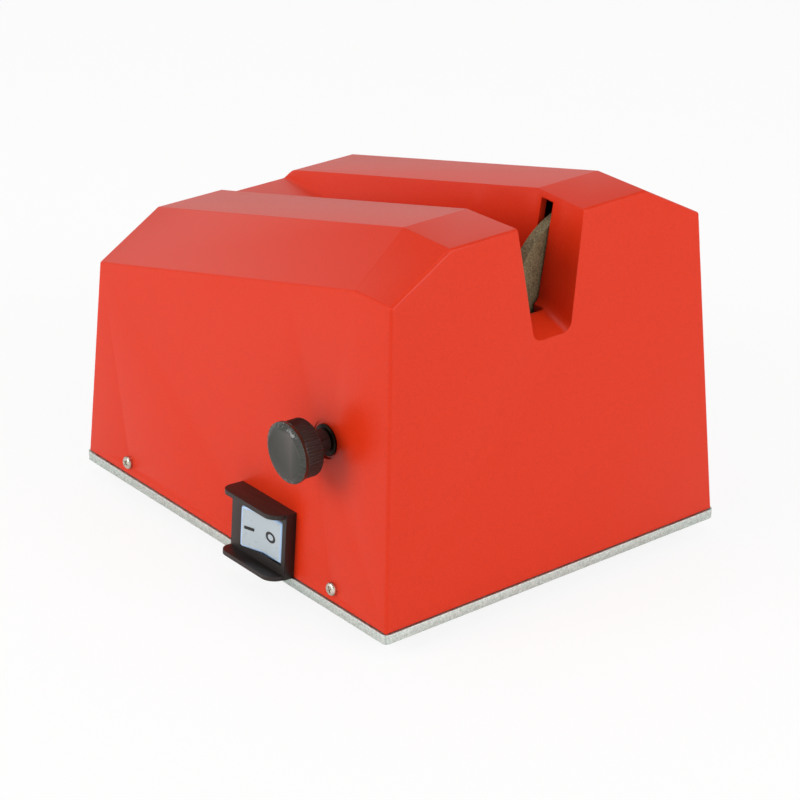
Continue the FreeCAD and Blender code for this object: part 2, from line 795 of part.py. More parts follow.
def side_seats():
    """Where the side screws meet the cover, with the turn that points +Z straight out of the wall."""
    seats = []
    for side in (-1, 1):
        x = side * (number("base_half_x") - number("side_screw_up") * number("lean"))
        z = thick + number("side_screw_up")
        for screw_y, inward in block_rows():
            seats.append(spot(x, screw_y, z, Y_AXIS, side * (90 - number("draft"))))
    return seats


side_hole = Part.makeCylinder(number("side_screw_radius") + number("screw_hole_slip"), 30,
                              Vector(0, 0, -20))
side_holes = []
quarter_turn = App.Placement(Vector(0, 0, 0), App.Rotation(Z_AXIS, 90))
for seat in side_seats():
    hole = side_hole.copy()
    hole.Placement = seat.multiply(quarter_turn)
    side_holes.append(hole)
side_screw_holes = feature_of("side_screw_holes", Part.makeCompound(side_holes))

cover_blank = cut("cover_blank", cover_skin, cover_cavity)
cover_cuts = joined("cover_cuts", [
    trough_space, right_slot, left_slot, floor_opening, knob_hole, knob_spot_face, switch_hole,
    grommet_hole,
])
cover_open = cut("cover_open", cover_blank, cover_cuts)
cover = cut("cover", cover_open, side_screw_holes)

# Side screws, and the blocks inside that they screw into

side_screw = pan_screw("one_side_screw", "dim.side_screw_long", "dim.side_screw_radius",
                       "dim.side_head_radius", "dim.side_head_tall")
cover_screws = group_of("cover_screws", side_screw, side_seats())


def cover_block(side, screw_y, inward):
    """One block on the plate, with its outer side against the cover's leaning wall."""
    low = number("base_half_x") - number("wall_across")
    high = low - number("block_tall") * number("lean")
    back = low - number("block_thick")
    top = thick + number("block_tall")
    corners = [Vector(side * low, 0, thick), Vector(side * high, 0, top),
               Vector(side * back, 0, top), Vector(side * back, 0, thick)]
    start = screw_y - inward * number("block_end")
    face = Part.Face(Part.makePolygon(corners + corners[:1]))
    block = face.extrude(Y_AXIS * (inward * number("block_long")))
    block.translate(Y_AXIS * start)
    side_bore = Part.makeCylinder(number("side_screw_radius") + number("thread_slip"), 40,
                                  Vector(0, 0, -30))
    side_bore.Placement = spot(side * (number("base_half_x") - number("side_screw_up")
                                       * number("lean")), screw_y, thick + number("side_screw_up"),
                               Y_AXIS, side * (90 - number("draft")))
    bolt = Vector(side * block_bolt_x(), screw_y + inward * number("block_screw_apart"), 0)
    foot_bore = Part.makeCylinder(tapped, 40, bolt)
    return block.cut(side_bore).cut(foot_bore)


blocks = []
for side in (-1, 1):
    for screw_y, inward in block_rows():
        blocks.append(cover_block(side, screw_y, inward))
cover_blocks = feature_of("cover_blocks", Part.makeCompound(blocks))

flat_screw = turned("one_flat_screw", "Z", [
    ("0.05", "0"),
    ("0.05", "dim.screw_radius + dim.countersink * 0.9"),
    ("0.05 + dim.countersink * 0.9", "dim.screw_radius"),
    ("dim.block_screw_long", "dim.screw_radius"),
    ("dim.block_screw_long", "0"),
])
block_screws = group_of("block_screws", flat_screw, [spot(x, y, 0) for x, y in block_bolts])

# Bearings, spindles, flanges, nuts and wheels


def bearing_source():
    """A sealed ball bearing along Y, from the origin backwards, as one turned ring."""
    dish = "0.6"
    return turned("one_bearing", "Y", [
        ("0", "dim.shaft_radius + dim.seat_slip"),
        ("0", "dim.shaft_radius + dim.bearing_race"),
        (dish, "dim.shaft_radius + dim.bearing_race"),
        (dish, "dim.bearing_radius - dim.bearing_race"),
        ("0", "dim.bearing_radius - dim.bearing_race"),
        ("0", "dim.bearing_radius"),
        ("dim.bearing_wide", "dim.bearing_radius"),
        ("dim.bearing_wide", "dim.bearing_radius - dim.bearing_race"),
        ("dim.bearing_wide - %s" % dish, "dim.bearing_radius - dim.bearing_race"),
        ("dim.bearing_wide - %s" % dish, "dim.shaft_radius + dim.bearing_race"),
        ("dim.bearing_wide", "dim.shaft_radius + dim.bearing_race"),
        ("dim.bearing_wide", "dim.shaft_radius + dim.seat_slip"),
    ])


bearing = bearing_source()
SIDES = {"left": -1, "right": 1}
wheel_z = number("wheel_height")
pivot_z = number("pivot_height")


def bearing_pair(label, x, z, housing_y):
    last = housing_y + number("housing_long") - number("bearing_wide")
    return group_of(label, bearing, [spot(x, housing_y, z), spot(x, last, z)])


def stepped_housing(housing_y, outer, x, z):
    """A tube along Y with a bearing seat at each end, and the space inside it."""
    long = number("housing_long")
    seat = number("bearing_radius") + number("seat_slip")
    tube = Part.makeCylinder(outer, long, Vector(x, housing_y, z), Y_AXIS)
    space = Part.makeCylinder(number("housing_waist_radius"), long + 2,
                              Vector(x, housing_y - 1, z), Y_AXIS)
    for start in (housing_y - 1, housing_y + long - number("bearing_wide")):
        space = space.fuse(Part.makeCylinder(seat, number("bearing_wide") + 1,
                                             Vector(x, start, z), Y_AXIS))
    return tube, space


def wheel_end(side_name):
    """Everything that turns with one wheel."""
    x = "%d * dim.wheel_spread" % SIDES[side_name]
    y = "calc.%s_front" % side_name
    z = "dim.wheel_height"
    bore = "dim.shaft_radius + dim.bore_slip"
    wheel = turned(side_name + "_wheel", "Y", [
        ("0", bore), ("0", "dim.wheel_radius - 0.25"), ("0.25", "dim.wheel_radius"),
        ("dim.wheel_thick - 0.25", "dim.wheel_radius"),
        ("dim.wheel_thick", "dim.wheel_radius - 0.25"), ("dim.wheel_thick", bore),
    ])
    place(wheel, x, y, z)
    front_end = "-(dim.flange_thick + dim.spindle_nut_tall + dim.spindle_spare)"
    shoulder = "dim.wheel_thick + dim.flange_thick"
    spindle = turned(side_name + "_spindle", "Y", [
        (front_end, "0"), (front_end, "dim.shaft_radius - 0.6"),
        (front_end + " + 0.6", "dim.shaft_radius"),
        (shoulder, "dim.shaft_radius"), (shoulder, "dim.shoulder_radius"),
        ("calc.to_housing", "dim.shoulder_radius"), ("calc.to_housing", "dim.shaft_radius"),
        ("calc.to_pulley + calc.pulley_wide + 1", "dim.shaft_radius"),
        ("calc.to_pulley + calc.pulley_wide + 1", "0"),
    ])
    place(spindle, x, y, z)
    flange = turned(side_name + "_one_flange", "Y", [
        ("0", bore), ("0", "dim.flange_radius"),
        ("-dim.flange_thick * 0.5", "dim.flange_radius"),
        ("-dim.flange_thick", "dim.flange_radius * 0.75"), ("-dim.flange_thick", bore),
    ])
    x_now = SIDES[side_name] * number("wheel_spread")
    y_now = number(side_name + "_front")
    rear = y_now + number("wheel_thick")
    group_of(side_name + "_flanges", flange,
             [spot(x_now, y_now, wheel_z), spot(x_now, rear, wheel_z, Z_AXIS, 180)])
    nut = hex_nut(side_name + "_nut", "dim.spindle_nut_across", "dim.spindle_nut_tall", bore)
    place(nut, x, y + " - dim.flange_thick", z, axis=X_AXIS, turn="90")


for name in SIDES:
    wheel_end(name)


def pulley(label, x, y, z):
    """A flat-belt pulley with thin side flanges, on a round shaft along Y."""
    bore = "dim.shaft_radius + dim.bore_slip"
    rim = "dim.pulley_flange_thick"
    wide = "calc.pulley_wide"
    piece = turned(label, "Y", [
        ("0", bore), ("0", "dim.pulley_flange_radius"), (rim, "dim.pulley_flange_radius"),
        (rim, "dim.pulley_radius"), (wide + " - " + rim, "dim.pulley_radius"),
        (wide + " - " + rim, "dim.pulley_flange_radius"), (wide, "dim.pulley_flange_radius"),
        (wide, bore),
    ])
    return place(piece, x, y, z)


pulley("left_pulley", "-dim.wheel_spread", "calc.left_pulley", "dim.wheel_height")
pulley("right_pulley", "dim.wheel_spread", "calc.right_pulley", "dim.wheel_height")
pulley("countershaft_pulley", "-dim.wheel_spread", "calc.left_pulley", "calc.pivot_height")
pulley("motor_pulley", "0", "calc.right_pulley", "dim.motor_height")


def stadium(x_from, z_from, x_to, z_to, radius):
    """A flat face bounded by two half circles and their outer tangents, in the XZ plane."""
    start = Vector(x_from, 0, z_from)
    end = Vector(x_to, 0, z_to)
    along = (end - start).normalize()
    across = Vector(-along.z, 0, along.x)
    wire = Part.Wire([
        Part.makeLine(start + across * radius, end + across * radius),
        Part.Arc(end + across * radius, end + along * radius, end - across * radius).toShape(),
        Part.makeLine(end - across * radius, start - across * radius),
        Part.Arc(start - across * radius, start - along * radius,
                 start + across * radius).toShape(),
    ])
    return Part.Face(wire)


def belt(label, x_from, z_from, x_to, z_to, pulley_y):
    """An endless flat belt round two equal pulleys."""
    inner = number("pulley_radius") + number("belt_slip")
    outer = inner + number("belt_thick")
    wide = number("belt_wide")
    start = pulley_y + number("pulley_flange_thick") + number("belt_side_gap")
    band = stadium(x_from, z_from, x_to, z_to, outer).extrude(Y_AXIS * wide)
    band = band.cut(stadium(x_from, z_from, x_to, z_to, inner).extrude(Y_AXIS * wide))
    band.translate(Y_AXIS * start)
    return feature_of(label, band.removeSplitter())


spread = number("wheel_spread")
motor_z = number("motor_height")
belt("left_belt", -spread, pivot_z, -spread, wheel_z, number("left_pulley"))
belt("right_belt", 0, motor_z, spread, wheel_z, number("right_pulley"))

# Right wheel: a fixed pedestal with a bearing housing on top


def pedestal(label, x, z, housing_y, outer):
    """A bearing tube on a tapering web, with a bolted foot plate."""
    tube, space = stepped_housing(housing_y, outer, x, z)
    web_thick = number("web_thick")
    web_y = housing_y + number("housing_long") - web_thick
    half = number("web_foot_wide") / 2
    foot_top = thick + number("foot_plate_thick")
    corners = [Vector(x - half, web_y, foot_top), Vector(x + half, web_y, foot_top),
               Vector(x + outer * 0.9, web_y, z), Vector(x - outer * 0.9, web_y, z)]
    web = Part.Face(Part.makePolygon(corners + corners[:1])).extrude(Y_AXIS * web_thick)
    middle_y = web_y + web_thick / 2
    wide = number("foot_plate_wide")
    deep = number("foot_plate_deep")
    foot_plate = Part.makeBox(wide, deep, number("foot_plate_thick"),
                              Vector(x - wide / 2, middle_y - deep / 2, thick))
    body = tube.fuse(web).fuse(foot_plate).cut(space)
    for bolt_x, bolt_y in pedestal_bolts(-1 if x < 0 else 1, housing_y):
        body = body.cut(Part.makeCylinder(plain, 40, Vector(bolt_x, bolt_y, 0)))
    return feature_of(label, body.removeSplitter())


right_housing_y = number("right_housing")
left_housing_y = number("left_housing")
pedestal("right_pedestal", spread, wheel_z, right_housing_y, number("housing_radius"))
bearing_pair("right_bearings", spread, wheel_z, right_housing_y)

# Left wheel: an arm that swings on the pivot pedestal's tube, with the countershaft inside the tube

pedestal("pivot_pedestal", -spread, pivot_z, left_housing_y, number("pivot_radius"))
bearing_pair("countershaft_bearings", -spread, pivot_z, left_housing_y)
bearing_pair("left_bearings", -spread, wheel_z, left_housing_y)


def tapered_face(low_radius, high_radius):
    """The arm's outline: two discs, one above the other, joined by their tangents."""
    low = Vector(-spread, 0, pivot_z)
    high = Vector(-spread, 0, wheel_z)
    lean = math.asin((low_radius - high_radius) / (wheel_z - pivot_z))
    side = Vector(math.cos(lean), 0, math.sin(lean))
    other = Vector(-side.x, 0, side.z)
    wire = Part.Wire([
        Part.makeLine(low + side * low_radius, high + side * high_radius),
        Part.Arc(high + side * high_radius, high + Z_AXIS * high_radius,
                 high + other * high_radius).toShape(),
        Part.makeLine(high + other * high_radius, low + other * low_radius),
        Part.Arc(low + other * low_radius, low - Z_AXIS * low_radius,
                 low + side * low_radius).toShape(),
    ])
    return Part.Face(wire)


def arm_shape():
    arm_thick = number("arm_thick")
    start = number("arm_y") - arm_thick / 2
    plate = tapered_face(number("arm_hub_radius"), number("housing_radius"))
    plate = plate.extrude(Y_AXIS * arm_thick)
    plate.translate(Y_AXIS * start)
    tube, space = stepped_housing(left_housing_y, number("housing_radius"), -spread, wheel_z)
    arm = plate.fuse(tube).cut(space)
    pivot_bore = Part.makeCylinder(number("pivot_radius") + number("pivot_slip"), arm_thick + 2,
                                   Vector(-spread, start - 1, pivot_z), Y_AXIS)
    knob_z = number("knob_height")
    trunnion_bore = Part.makeCylinder(number("trunnion_radius") + number("bore_slip"),
                                      arm_thick + 2, Vector(-spread, start - 1, knob_z), Y_AXIS)
    window = Part.makeCylinder(number("arm_window_radius"), 80,
                               Vector(-spread - 40, number("arm_y"), knob_z), X_AXIS)
    return arm.cut(pivot_bore).cut(trunnion_bore).cut(window).removeSplitter()


swing_arm = feature_of("swing_arm", arm_shape())

trunnion = new_body("trunnion_nut")
round_section = new_sketch(trunnion, "XZ_Plane")
circle(round_section, "0", "0", "dim.trunnion_radius")
pad(trunnion, round_section, "dim.arm_thick", both_ways=True)
thread_section = new_sketch(trunnion, "YZ_Plane")
circle(thread_section, "0", "0", "dim.shaft_radius + dim.thread_gap")
pocket(trunnion, thread_section, "4 * dim.trunnion_radius", both_ways=True)
place(trunnion, "-dim.wheel_spread", "calc.arm_y", "dim.knob_height")

countershaft_front = "(calc.left_housing - 1.5)"
countershaft_end = "(calc.works_y - dim.gear_back + 1)"
countershaft = turned("countershaft", "Y", [
    (countershaft_front, "0"), (countershaft_front, "dim.shaft_radius"),
    ("calc.left_housing + dim.housing_long", "dim.shaft_radius"),
    ("calc.left_housing + dim.housing_long", "dim.shoulder_radius"),
    ("calc.left_pulley", "dim.shoulder_radius"), ("calc.left_pulley", "dim.shaft_radius"),
    (countershaft_end, "dim.shaft_radius"), (countershaft_end, "0"),
])
place(countershaft, "-dim.wheel_spread", "0", "calc.pivot_height")

# Gear pair: involute flanks from the base circle, straight roots and round tips


def gear_shape(turn):
    """A spur gear along Y, with a tooth centred at the given angle from +X towards +Z."""
    teeth = int(number("gear_teeth"))
    module = number("gear_module")
    pitch = module * teeth / 2
    base = pitch * math.cos(math.radians(20))
    tip = pitch + module
    root = pitch - 1.25 * module
    half_tooth = (math.pi * module / 2 - number("gear_backlash")) / 2 / pitch
    pressure = math.tan(math.radians(20)) - math.radians(20)

    def flank(radius):
        """Half the tooth's angle at one radius."""
        if radius <= base:
            return half_tooth + pressure
        reach = math.acos(base / radius)
        return half_tooth + pressure - (math.tan(reach) - reach)

    def point(radius, angle):
        return Vector(radius * math.cos(angle), 0, radius * math.sin(angle))

    edges = []
    first_radius = max(base, root)
    middle_radius = (first_radius + tip) / 2
    for tooth in range(teeth):
        middle = turn + 2 * math.pi * tooth / teeth
        following = middle + 2 * math.pi / teeth
        low, bend, top = flank(first_radius), flank(middle_radius), flank(tip)
        rising = [point(first_radius, middle - low), point(middle_radius, middle - bend),
                  point(tip, middle - top)]
        falling = [point(tip, middle + top), point(middle_radius, middle + bend),
                   point(first_radius, middle + low)]
        root_in = point(root, middle + low)
        root_out = point(root, following - low)
        edges.append(Part.Arc(*rising).toShape())
        edges.append(Part.Arc(rising[2], point(tip, middle), falling[0]).toShape())
        edges.append(Part.Arc(*falling).toShape())
        if first_radius > root:
            edges.append(Part.makeLine(falling[2], root_in))
        edges.append(Part.Arc(root_in, point(root, (middle + following) / 2), root_out).toShape())
        if first_radius > root:
            edges.append(Part.makeLine(root_out, point(first_radius, following - low)))
    wide = number("gear_wide")
    gear = Part.Face(Part.Wire(edges)).extrude(Y_AXIS * wide)
    bore = Part.makeCylinder(number("shaft_radius") + number("bore_slip"), wide, Vector(), Y_AXIS)
    recess_out = Part.makeCylinder(root - 2.5, 1.5, Vector(), Y_AXIS)
    recess_in = Part.makeCylinder(number("shoulder_radius") + 1.5, 1.5, Vector(), Y_AXIS)
    return gear.cut(bore).cut(recess_out.cut(recess_in))


mesh_angle = math.atan2(pivot_z - motor_z, -spread)
half_pitch = math.pi / number("gear_teeth")
drive_gear = feature_of("drive_gear", gear_shape(mesh_angle))
place(drive_gear, "0", "calc.gear_y", "dim.motor_height")
driven_gear = feature_of("driven_gear", gear_shape(mesh_angle + math.pi + half_pitch))
place(driven_gear, "-dim.wheel_spread", "calc.gear_y", "calc.pivot_height")

# Motor

motor_shaft_rear = "(calc.motor_rear + dim.fan_gap + dim.fan_wide + 1)"
motor_shaft = turned("motor_shaft", "Y", [
    ("calc.right_pulley - 1.5", "0"), ("calc.right_pulley - 1.5", "dim.shaft_radius"),
    ("calc.motor_y + dim.cap_thick", "dim.shaft_radius"),
    ("calc.motor_y + dim.cap_thick", "dim.shoulder_radius"),
    ("calc.motor_rear - dim.cap_thick", "dim.shoulder_radius"),
    ("calc.motor_rear - dim.cap_thick", "dim.shaft_radius"),
    (motor_shaft_rear, "dim.shaft_radius"), (motor_shaft_rear, "0"),
])
place(motor_shaft, "0", "0", "dim.motor_height")

middle_y = "((calc.motor_y + calc.motor_rear) / 2)"
rotor_core = turned("rotor_core", "Y", [
    ("-calc.rotor_span / 2", "dim.shoulder_radius + dim.seat_slip"),
    ("-calc.rotor_span / 2", "dim.stator_bore_radius - dim.rotor_gap"),
    ("calc.rotor_span / 2", "dim.stator_bore_radius - dim.rotor_gap"),
    ("calc.rotor_span / 2", "dim.shoulder_radius + dim.seat_slip"),
])
place(rotor_core, "0", middle_y, "dim.motor_height")

stator_core = turned("stator_core", "Y", [
    ("-calc.stator_span / 2", "dim.stator_bore_radius"),
    ("-calc.stator_span / 2", "dim.motor_radius - dim.motor_wall - dim.seat_slip"),
    ("calc.stator_span / 2", "dim.motor_radius - dim.motor_wall - dim.seat_slip"),
    ("calc.stator_span / 2", "dim.stator_bore_radius"),
])
place(stator_core, "0", middle_y, "dim.motor_height")

coil_outer = "(dim.motor_radius - dim.motor_wall - dim.winding_gap)"
one_winding = turned("one_winding", "Y", [
    ("0", "dim.winding_inner_radius"), ("0", coil_outer),
    ("dim.winding_long * 0.6", coil_outer),
    ("dim.winding_long", "%s - dim.winding_long * 0.4" % coil_outer),
    ("dim.winding_long", "dim.winding_inner_radius + dim.winding_long * 0.3"),
    ("dim.winding_long * 0.7", "dim.winding_inner_radius"),
])
stator_middle = (number("motor_y") + number("motor_rear")) / 2
stator_half = number("stator_span") / 2
stator_windings = group_of("stator_windings", one_winding, [
    spot(0, stator_middle + stator_half, motor_z),
    spot(0, stator_middle - stator_half, motor_z, Z_AXIS, 180),
])

motor_housing = turned("motor_housing", "Y", [
    ("calc.motor_y + dim.cap_thick", "dim.motor_radius - dim.motor_wall"),
    ("calc.motor_y + dim.cap_thick", "dim.motor_radius"),
    ("calc.motor_rear - dim.cap_thick", "dim.motor_radius"),
    ("calc.motor_rear - dim.cap_thick", "dim.motor_radius - dim.motor_wall"),
])
place(motor_housing, "0", "0", "dim.motor_height")


def motor_cap(label, y, turn):
    """An end cap with a bearing seat that opens towards the rotor."""
    seat = "dim.bearing_radius + dim.seat_slip"
    lip = "dim.cap_lip"
    boss = "(dim.bearing_radius + 3)"
    piece = turned(label, "Y", [
        ("0", "dim.cap_hole_radius"), ("0", boss), (lip, boss),
        ("dim.cap_thick * 0.5", "dim.motor_radius - 3"),
        ("dim.cap_thick * 0.5", "dim.motor_radius - 1"),
        ("dim.cap_thick * 0.5 + 1", "dim.motor_radius"), ("dim.cap_thick", "dim.motor_radius"),
        ("dim.cap_thick", seat), (lip, seat), (lip, "dim.cap_hole_radius"),
    ])
    return place(piece, "0", y, "dim.motor_height", axis=Z_AXIS, turn=turn)


motor_cap("motor_front_cap", "calc.motor_y", "0")
motor_cap("motor_rear_cap", "calc.motor_rear", "180")
motor_bearings = group_of("motor_bearings", bearing, [
    spot(0, number("motor_y") + number("cap_lip"), motor_z),
    spot(0, number("motor_rear") - number("cap_lip") - number("bearing_wide"), motor_z),
])

fan = new_body("motor_fan")
fan_face = new_sketch(fan, "XZ_Plane")
circle(fan_face, "0", "0", "dim.fan_radius")
circle(fan_face, "0", "0", "dim.shaft_radius + dim.bore_slip")
pad(fan, fan_face, "dim.fan_disc", back=True)
fan_hub = new_sketch(fan, "XZ_Plane")
circle(fan_hub, "0", "0", "dim.fan_hub_radius")
circle(fan_hub, "0", "0", "dim.shaft_radius + dim.bore_slip")
pad(fan, fan_hub, "dim.fan_wide", back=True)
blade = new_sketch(fan, "XZ_Plane")
box_outline(blade, "dim.fan_hub_radius - 1", "-dim.fan_blade_thick / 2", "dim.fan_radius - 1",
            "dim.fan_blade_thick / 2")
first_blade = pad(fan, blade, "dim.fan_wide", back=True)
blades = fan.newObject("PartDesign::PolarPattern", "blades")
blades.Originals = [first_blade]
blades.Axis = (blade, ["N_Axis"])
blades.Angle = 360
blades.setExpression("Occurrences", "dim.fan_blades")
fan.Tip = blades
place(fan, "0", "calc.motor_rear + dim.fan_gap", "dim.motor_height")
doc.recompute()


def cradle_shape():
    """A folded bracket: a base with ears and a saddle rib under each end of the motor."""
    half = number("cradle_wide") / 2
    ear = number("cradle_ear")
    front = number("motor_y") + number("cap_thick")
    rear = number("motor_rear") - number("cap_thick")
    rib = number("cradle_rib")
    ear_long = number("cradle_ear_long")
    sheet = number("cradle_base")
    body = Part.makeBox(2 * half, rear - front, sheet, Vector(-half, front, thick))
    top = number("cradle_top")
    for y in (front, rear - rib):
        body = body.fuse(Part.makeBox(2 * half, rib, top - thick, Vector(-half, y, thick)))
    for y in (front, rear - ear_long):
        body = body.fuse(Part.makeBox(2 * (half + ear), ear_long, sheet,
                                      Vector(-half - ear, y, thick)))
    saddle = Part.makeCylinder(number("motor_radius"), FAR, Vector(0, -FAR / 2, motor_z), Y_AXIS)
    body = body.cut(saddle)
    for x, y in cradle_bolts():
        body = body.cut(Part.makeCylinder(plain, 60, Vector(x, y, 0)))
    return body.removeSplitter()


motor_cradle = feature_of("motor_cradle", cradle_shape())

# Screws that hold the pedestals, the cradle and the clip to the plate

plate_screw = pan_screw("one_plate_screw", "dim.foot_plate_thick + dim.plate_thick - 1")
short_screw = pan_screw("one_short_screw", "dim.plate_thick + dim.clip_thick - 1")
pedestal_screws = group_of("pedestal_screws", plate_screw, [
    spot(x, y, thick + number("foot_plate_thick"))
    for x, y in pedestal_bolts(-1, left_housing_y) + pedestal_bolts(1, right_housing_y)
])
motor_screws = group_of("motor_screws", short_screw, [
    spot(x, y, thick + number("cradle_base")) for x, y in cradle_bolts()
])
clip_screw = group_of("clip_screw", short_screw, [
    spot(x, y, thick + number("clip_thick")) for x, y in clip_bolts()
])

# Capacitor and its clip

capacitor_up = "(dim.plate_thick + dim.capacitor_radius + dim.clip_thick + dim.clip_slip)"
run_capacitor = turned("run_capacitor", "Y", [
    ("0", "0"), ("0", "dim.capacitor_radius - 1"), ("1", "dim.capacitor_radius"),
    ("dim.capacitor_long - 1.5", "dim.capacitor_radius"),
    ("dim.capacitor_long", "dim.capacitor_radius - 1.5"),
    ("dim.capacitor_long", "4"), ("dim.capacitor_long + 3", "3"), ("dim.capacitor_long + 3", "0"),
])
place(run_capacitor, "dim.capacitor_x", "calc.capacitor_start", capacitor_up)


def clip_shape():
    """A sheet strap round the capacitor, with a tab on the plate."""
    inner = number("capacitor_radius") + number("clip_slip")
    sheet = number("clip_thick")
    x = number("capacitor_x")
    z = thick + number("capacitor_radius") + sheet + number("clip_slip")
    wide = number("clip_wide")
    y = number("capacitor_start") + (number("capacitor_long") - wide) / 2
    tab_end = x - number("capacitor_radius") - number("clip_tab")
    ring = Part.makeCylinder(inner + sheet, wide, Vector(x, y, z), Y_AXIS)
    tab = Part.makeBox(x - tab_end, wide, sheet, Vector(tab_end, y, thick))
    strap = ring.fuse(tab).cut(Part.makeCylinder(inner, wide, Vector(x, y, z), Y_AXIS))
    for bolt_x, bolt_y in clip_bolts():
        strap = strap.cut(Part.makeCylinder(plain, 30, Vector(bolt_x, bolt_y, 0)))
    return strap.removeSplitter()


capacitor_clip = feature_of("capacitor_clip", clip_shape())

# Terminal block

terminals = new_body("terminal_block")
foot_print = new_sketch(terminals, "XY_Plane")
box_outline(foot_print, "-dim.terminal_block_wide / 2", "-dim.terminal_block_long / 2",
            "dim.terminal_block_wide / 2", "dim.terminal_block_long / 2")
pad(terminals, foot_print, "dim.terminal_block_tall")
well = new_sketch(terminals, "XY_Plane", "dim.terminal_block_tall")
circle(well, "0", "-dim.terminal_block_long / 2 + dim.terminal_block_long / dim.terminal_block_poles / 2",
       "2.6")
first_well = pocket(terminals, well, "6")
wells = terminals.newObject("PartDesign::LinearPattern", "wells")
wells.Originals = [first_well]
wells.Direction = (well, ["V_Axis"])
wells.setExpression("Length", "dim.terminal_block_long * (1 - 1 / dim.terminal_block_poles)")
wells.setExpression("Occurrences", "dim.terminal_block_poles")
terminals.Tip = wells
place(terminals, "-dim.terminal_block_x", "calc.terminals_at", "dim.plate_thick")
doc.recompute()

# Grommet in the rear wall

grommet_rim = "(dim.grommet_radius + dim.grommet_rim)"
wall_half = "(calc.wall_across / 2 + %s * calc.lean + 0.1)" % grommet_rim
cable_grommet = turned("cable_grommet", "Y", [
    ("-%s - dim.grommet_rim_thick" % wall_half, "dim.grommet_bore"),
    ("-%s - dim.grommet_rim_thick" % wall_half, "%s - 1" % grommet_rim),
    ("-%s" % wall_half, grommet_rim),
    ("-%s" % wall_half, "dim.grommet_radius - 0.1"),
    (wall_half, "dim.grommet_radius - 0.1"),
    (wall_half, grommet_rim),
    ("%s + dim.grommet_rim_thick" % wall_half, "%s - 1" % grommet_rim),
    ("%s + dim.grommet_rim_thick" % wall_half, "dim.grommet_bore"),
])
place(cable_grommet, "-dim.grommet_x", "calc.rear_face_y - calc.wall_across / 2",
      "dim.grommet_height")

# Knob, its bush in the left wall, and the spindle that draws the arm

bush_bore = "dim.shaft_radius + dim.running_slip"
flange_out = "(-dim.bush_flange_thick)"
spindle_bush = turned("spindle_bush", "X", [
    (flange_out, bush_bore), (flange_out, "dim.bush_flange_radius - 0.6"),
    (flange_out + " + 0.6", "dim.bush_flange_radius"), ("0", "dim.bush_flange_radius"),
    ("0", "dim.bush_radius"), ("dim.bush_long", "dim.bush_radius"), ("dim.bush_long", bush_bore),
])
place(spindle_bush, "calc.bush_seat_x", "calc.arm_y", "dim.knob_height")

inner_seat_x = "(calc.knob_wall_x + calc.wall_across + dim.bush_nut_across * 0.58 * calc.lean)"
bush_nut = hex_nut("bush_nut", "dim.bush_nut_across", "dim.bush_nut_tall",
                   "dim.bush_radius + dim.thread_slip")
place(bush_nut, inner_seat_x, "calc.arm_y", "dim.knob_height", axis=Y_AXIS, turn="90")

knob_back = "(calc.bush_seat_x + %s - dim.knob_gap)" % flange_out
spindle_start = "(%s - dim.knob_bore_deep)" % knob_back
spindle_tip = "(-dim.wheel_spread + dim.spindle_reach)"
adjusting_spindle = turned("adjusting_spindle", "X", [
    (spindle_start, "0"), (spindle_start, "dim.shaft_radius"),
    (spindle_tip + " - 1", "dim.shaft_radius"), (spindle_tip, "dim.shaft_radius - 1"),
    (spindle_tip, "0"),
])
place(adjusting_spindle, "0", "calc.arm_y", "dim.knob_height")

retaining_collar = turned("retaining_collar", "X", [
    ("0", "dim.shaft_radius + dim.bore_slip"), ("0", "dim.collar_radius"),
    ("dim.collar_long", "dim.collar_radius"),
    ("dim.collar_long", "dim.shaft_radius + dim.bore_slip"),
])
place(retaining_collar, "calc.bush_seat_x + dim.bush_long + dim.collar_gap", "calc.arm_y",
      "dim.knob_height")

neck_end = "(-dim.knob_neck_long)"
knob_front = "(-dim.knob_neck_long - dim.knob_disc_thick)"
knob = turned("adjust_knob", "X", [
    (knob_front + " - 0.5", "0"), (knob_front, "dim.knob_radius - dim.knob_face_bevel - 1"),
    (knob_front + " + dim.knob_face_bevel", "dim.knob_radius"),
    (knob_front + " + dim.knob_flange_thick", "dim.knob_radius"),
    (knob_front + " + dim.knob_flange_thick", "dim.knob_rim_radius"),
    (neck_end + " - 0.8", "dim.knob_rim_radius"), (neck_end, "dim.knob_rim_radius - 0.8"),
    (neck_end, "dim.knob_neck_radius"), ("0", "dim.knob_neck_radius"),
    ("0", "dim.shaft_radius + dim.bore_slip"),
    ("-dim.knob_bore_deep", "dim.shaft_radius + dim.bore_slip"), ("-dim.knob_bore_deep", "0"),
])
flute = new_sketch(knob, "YZ_Plane", neck_end + " + 1")
circle(flute, "dim.knob_rim_radius + dim.flute_radius * 0.25", "0", "dim.flute_radius")
first_flute = pocket(knob, flute, "dim.knob_disc_thick - dim.knob_flange_thick + 1")
flutes = knob.newObject("PartDesign::PolarPattern", "flutes")
flutes.Originals = [first_flute]
flutes.Axis = (flute, ["N_Axis"])
flutes.Angle = 360
flutes.setExpression("Occurrences", "dim.knob_flutes")
knob.Tip = flutes
place(knob, knob_back, "calc.arm_y", "dim.knob_height")
doc.recompute()

# Switch guard, switch and rocker, drawn with +X into the machine and +Z up the leaning wall


def on_switch_seat(piece):
    return place(piece, "calc.switch_x", "calc.switch_at", "calc.switch_height", axis=Y_AXIS,
                 turn="dim.draft")


guard_frame = new_body("guard_frame")
frame_face = new_sketch(guard_frame, "YZ_Plane")
box_outline(frame_face, "-dim.guard_long / 2", "-dim.guard_tall / 2", "dim.guard_long / 2",
            "dim.guard_tall / 2")
pad(guard_frame, frame_face, "dim.guard_front", back=True)
dress(guard_frame, "Fillet", "dim.guard_round",
      lambda edge: edge.BoundBox.XLength > 1 and edge.BoundBox.YLength < 0.1)


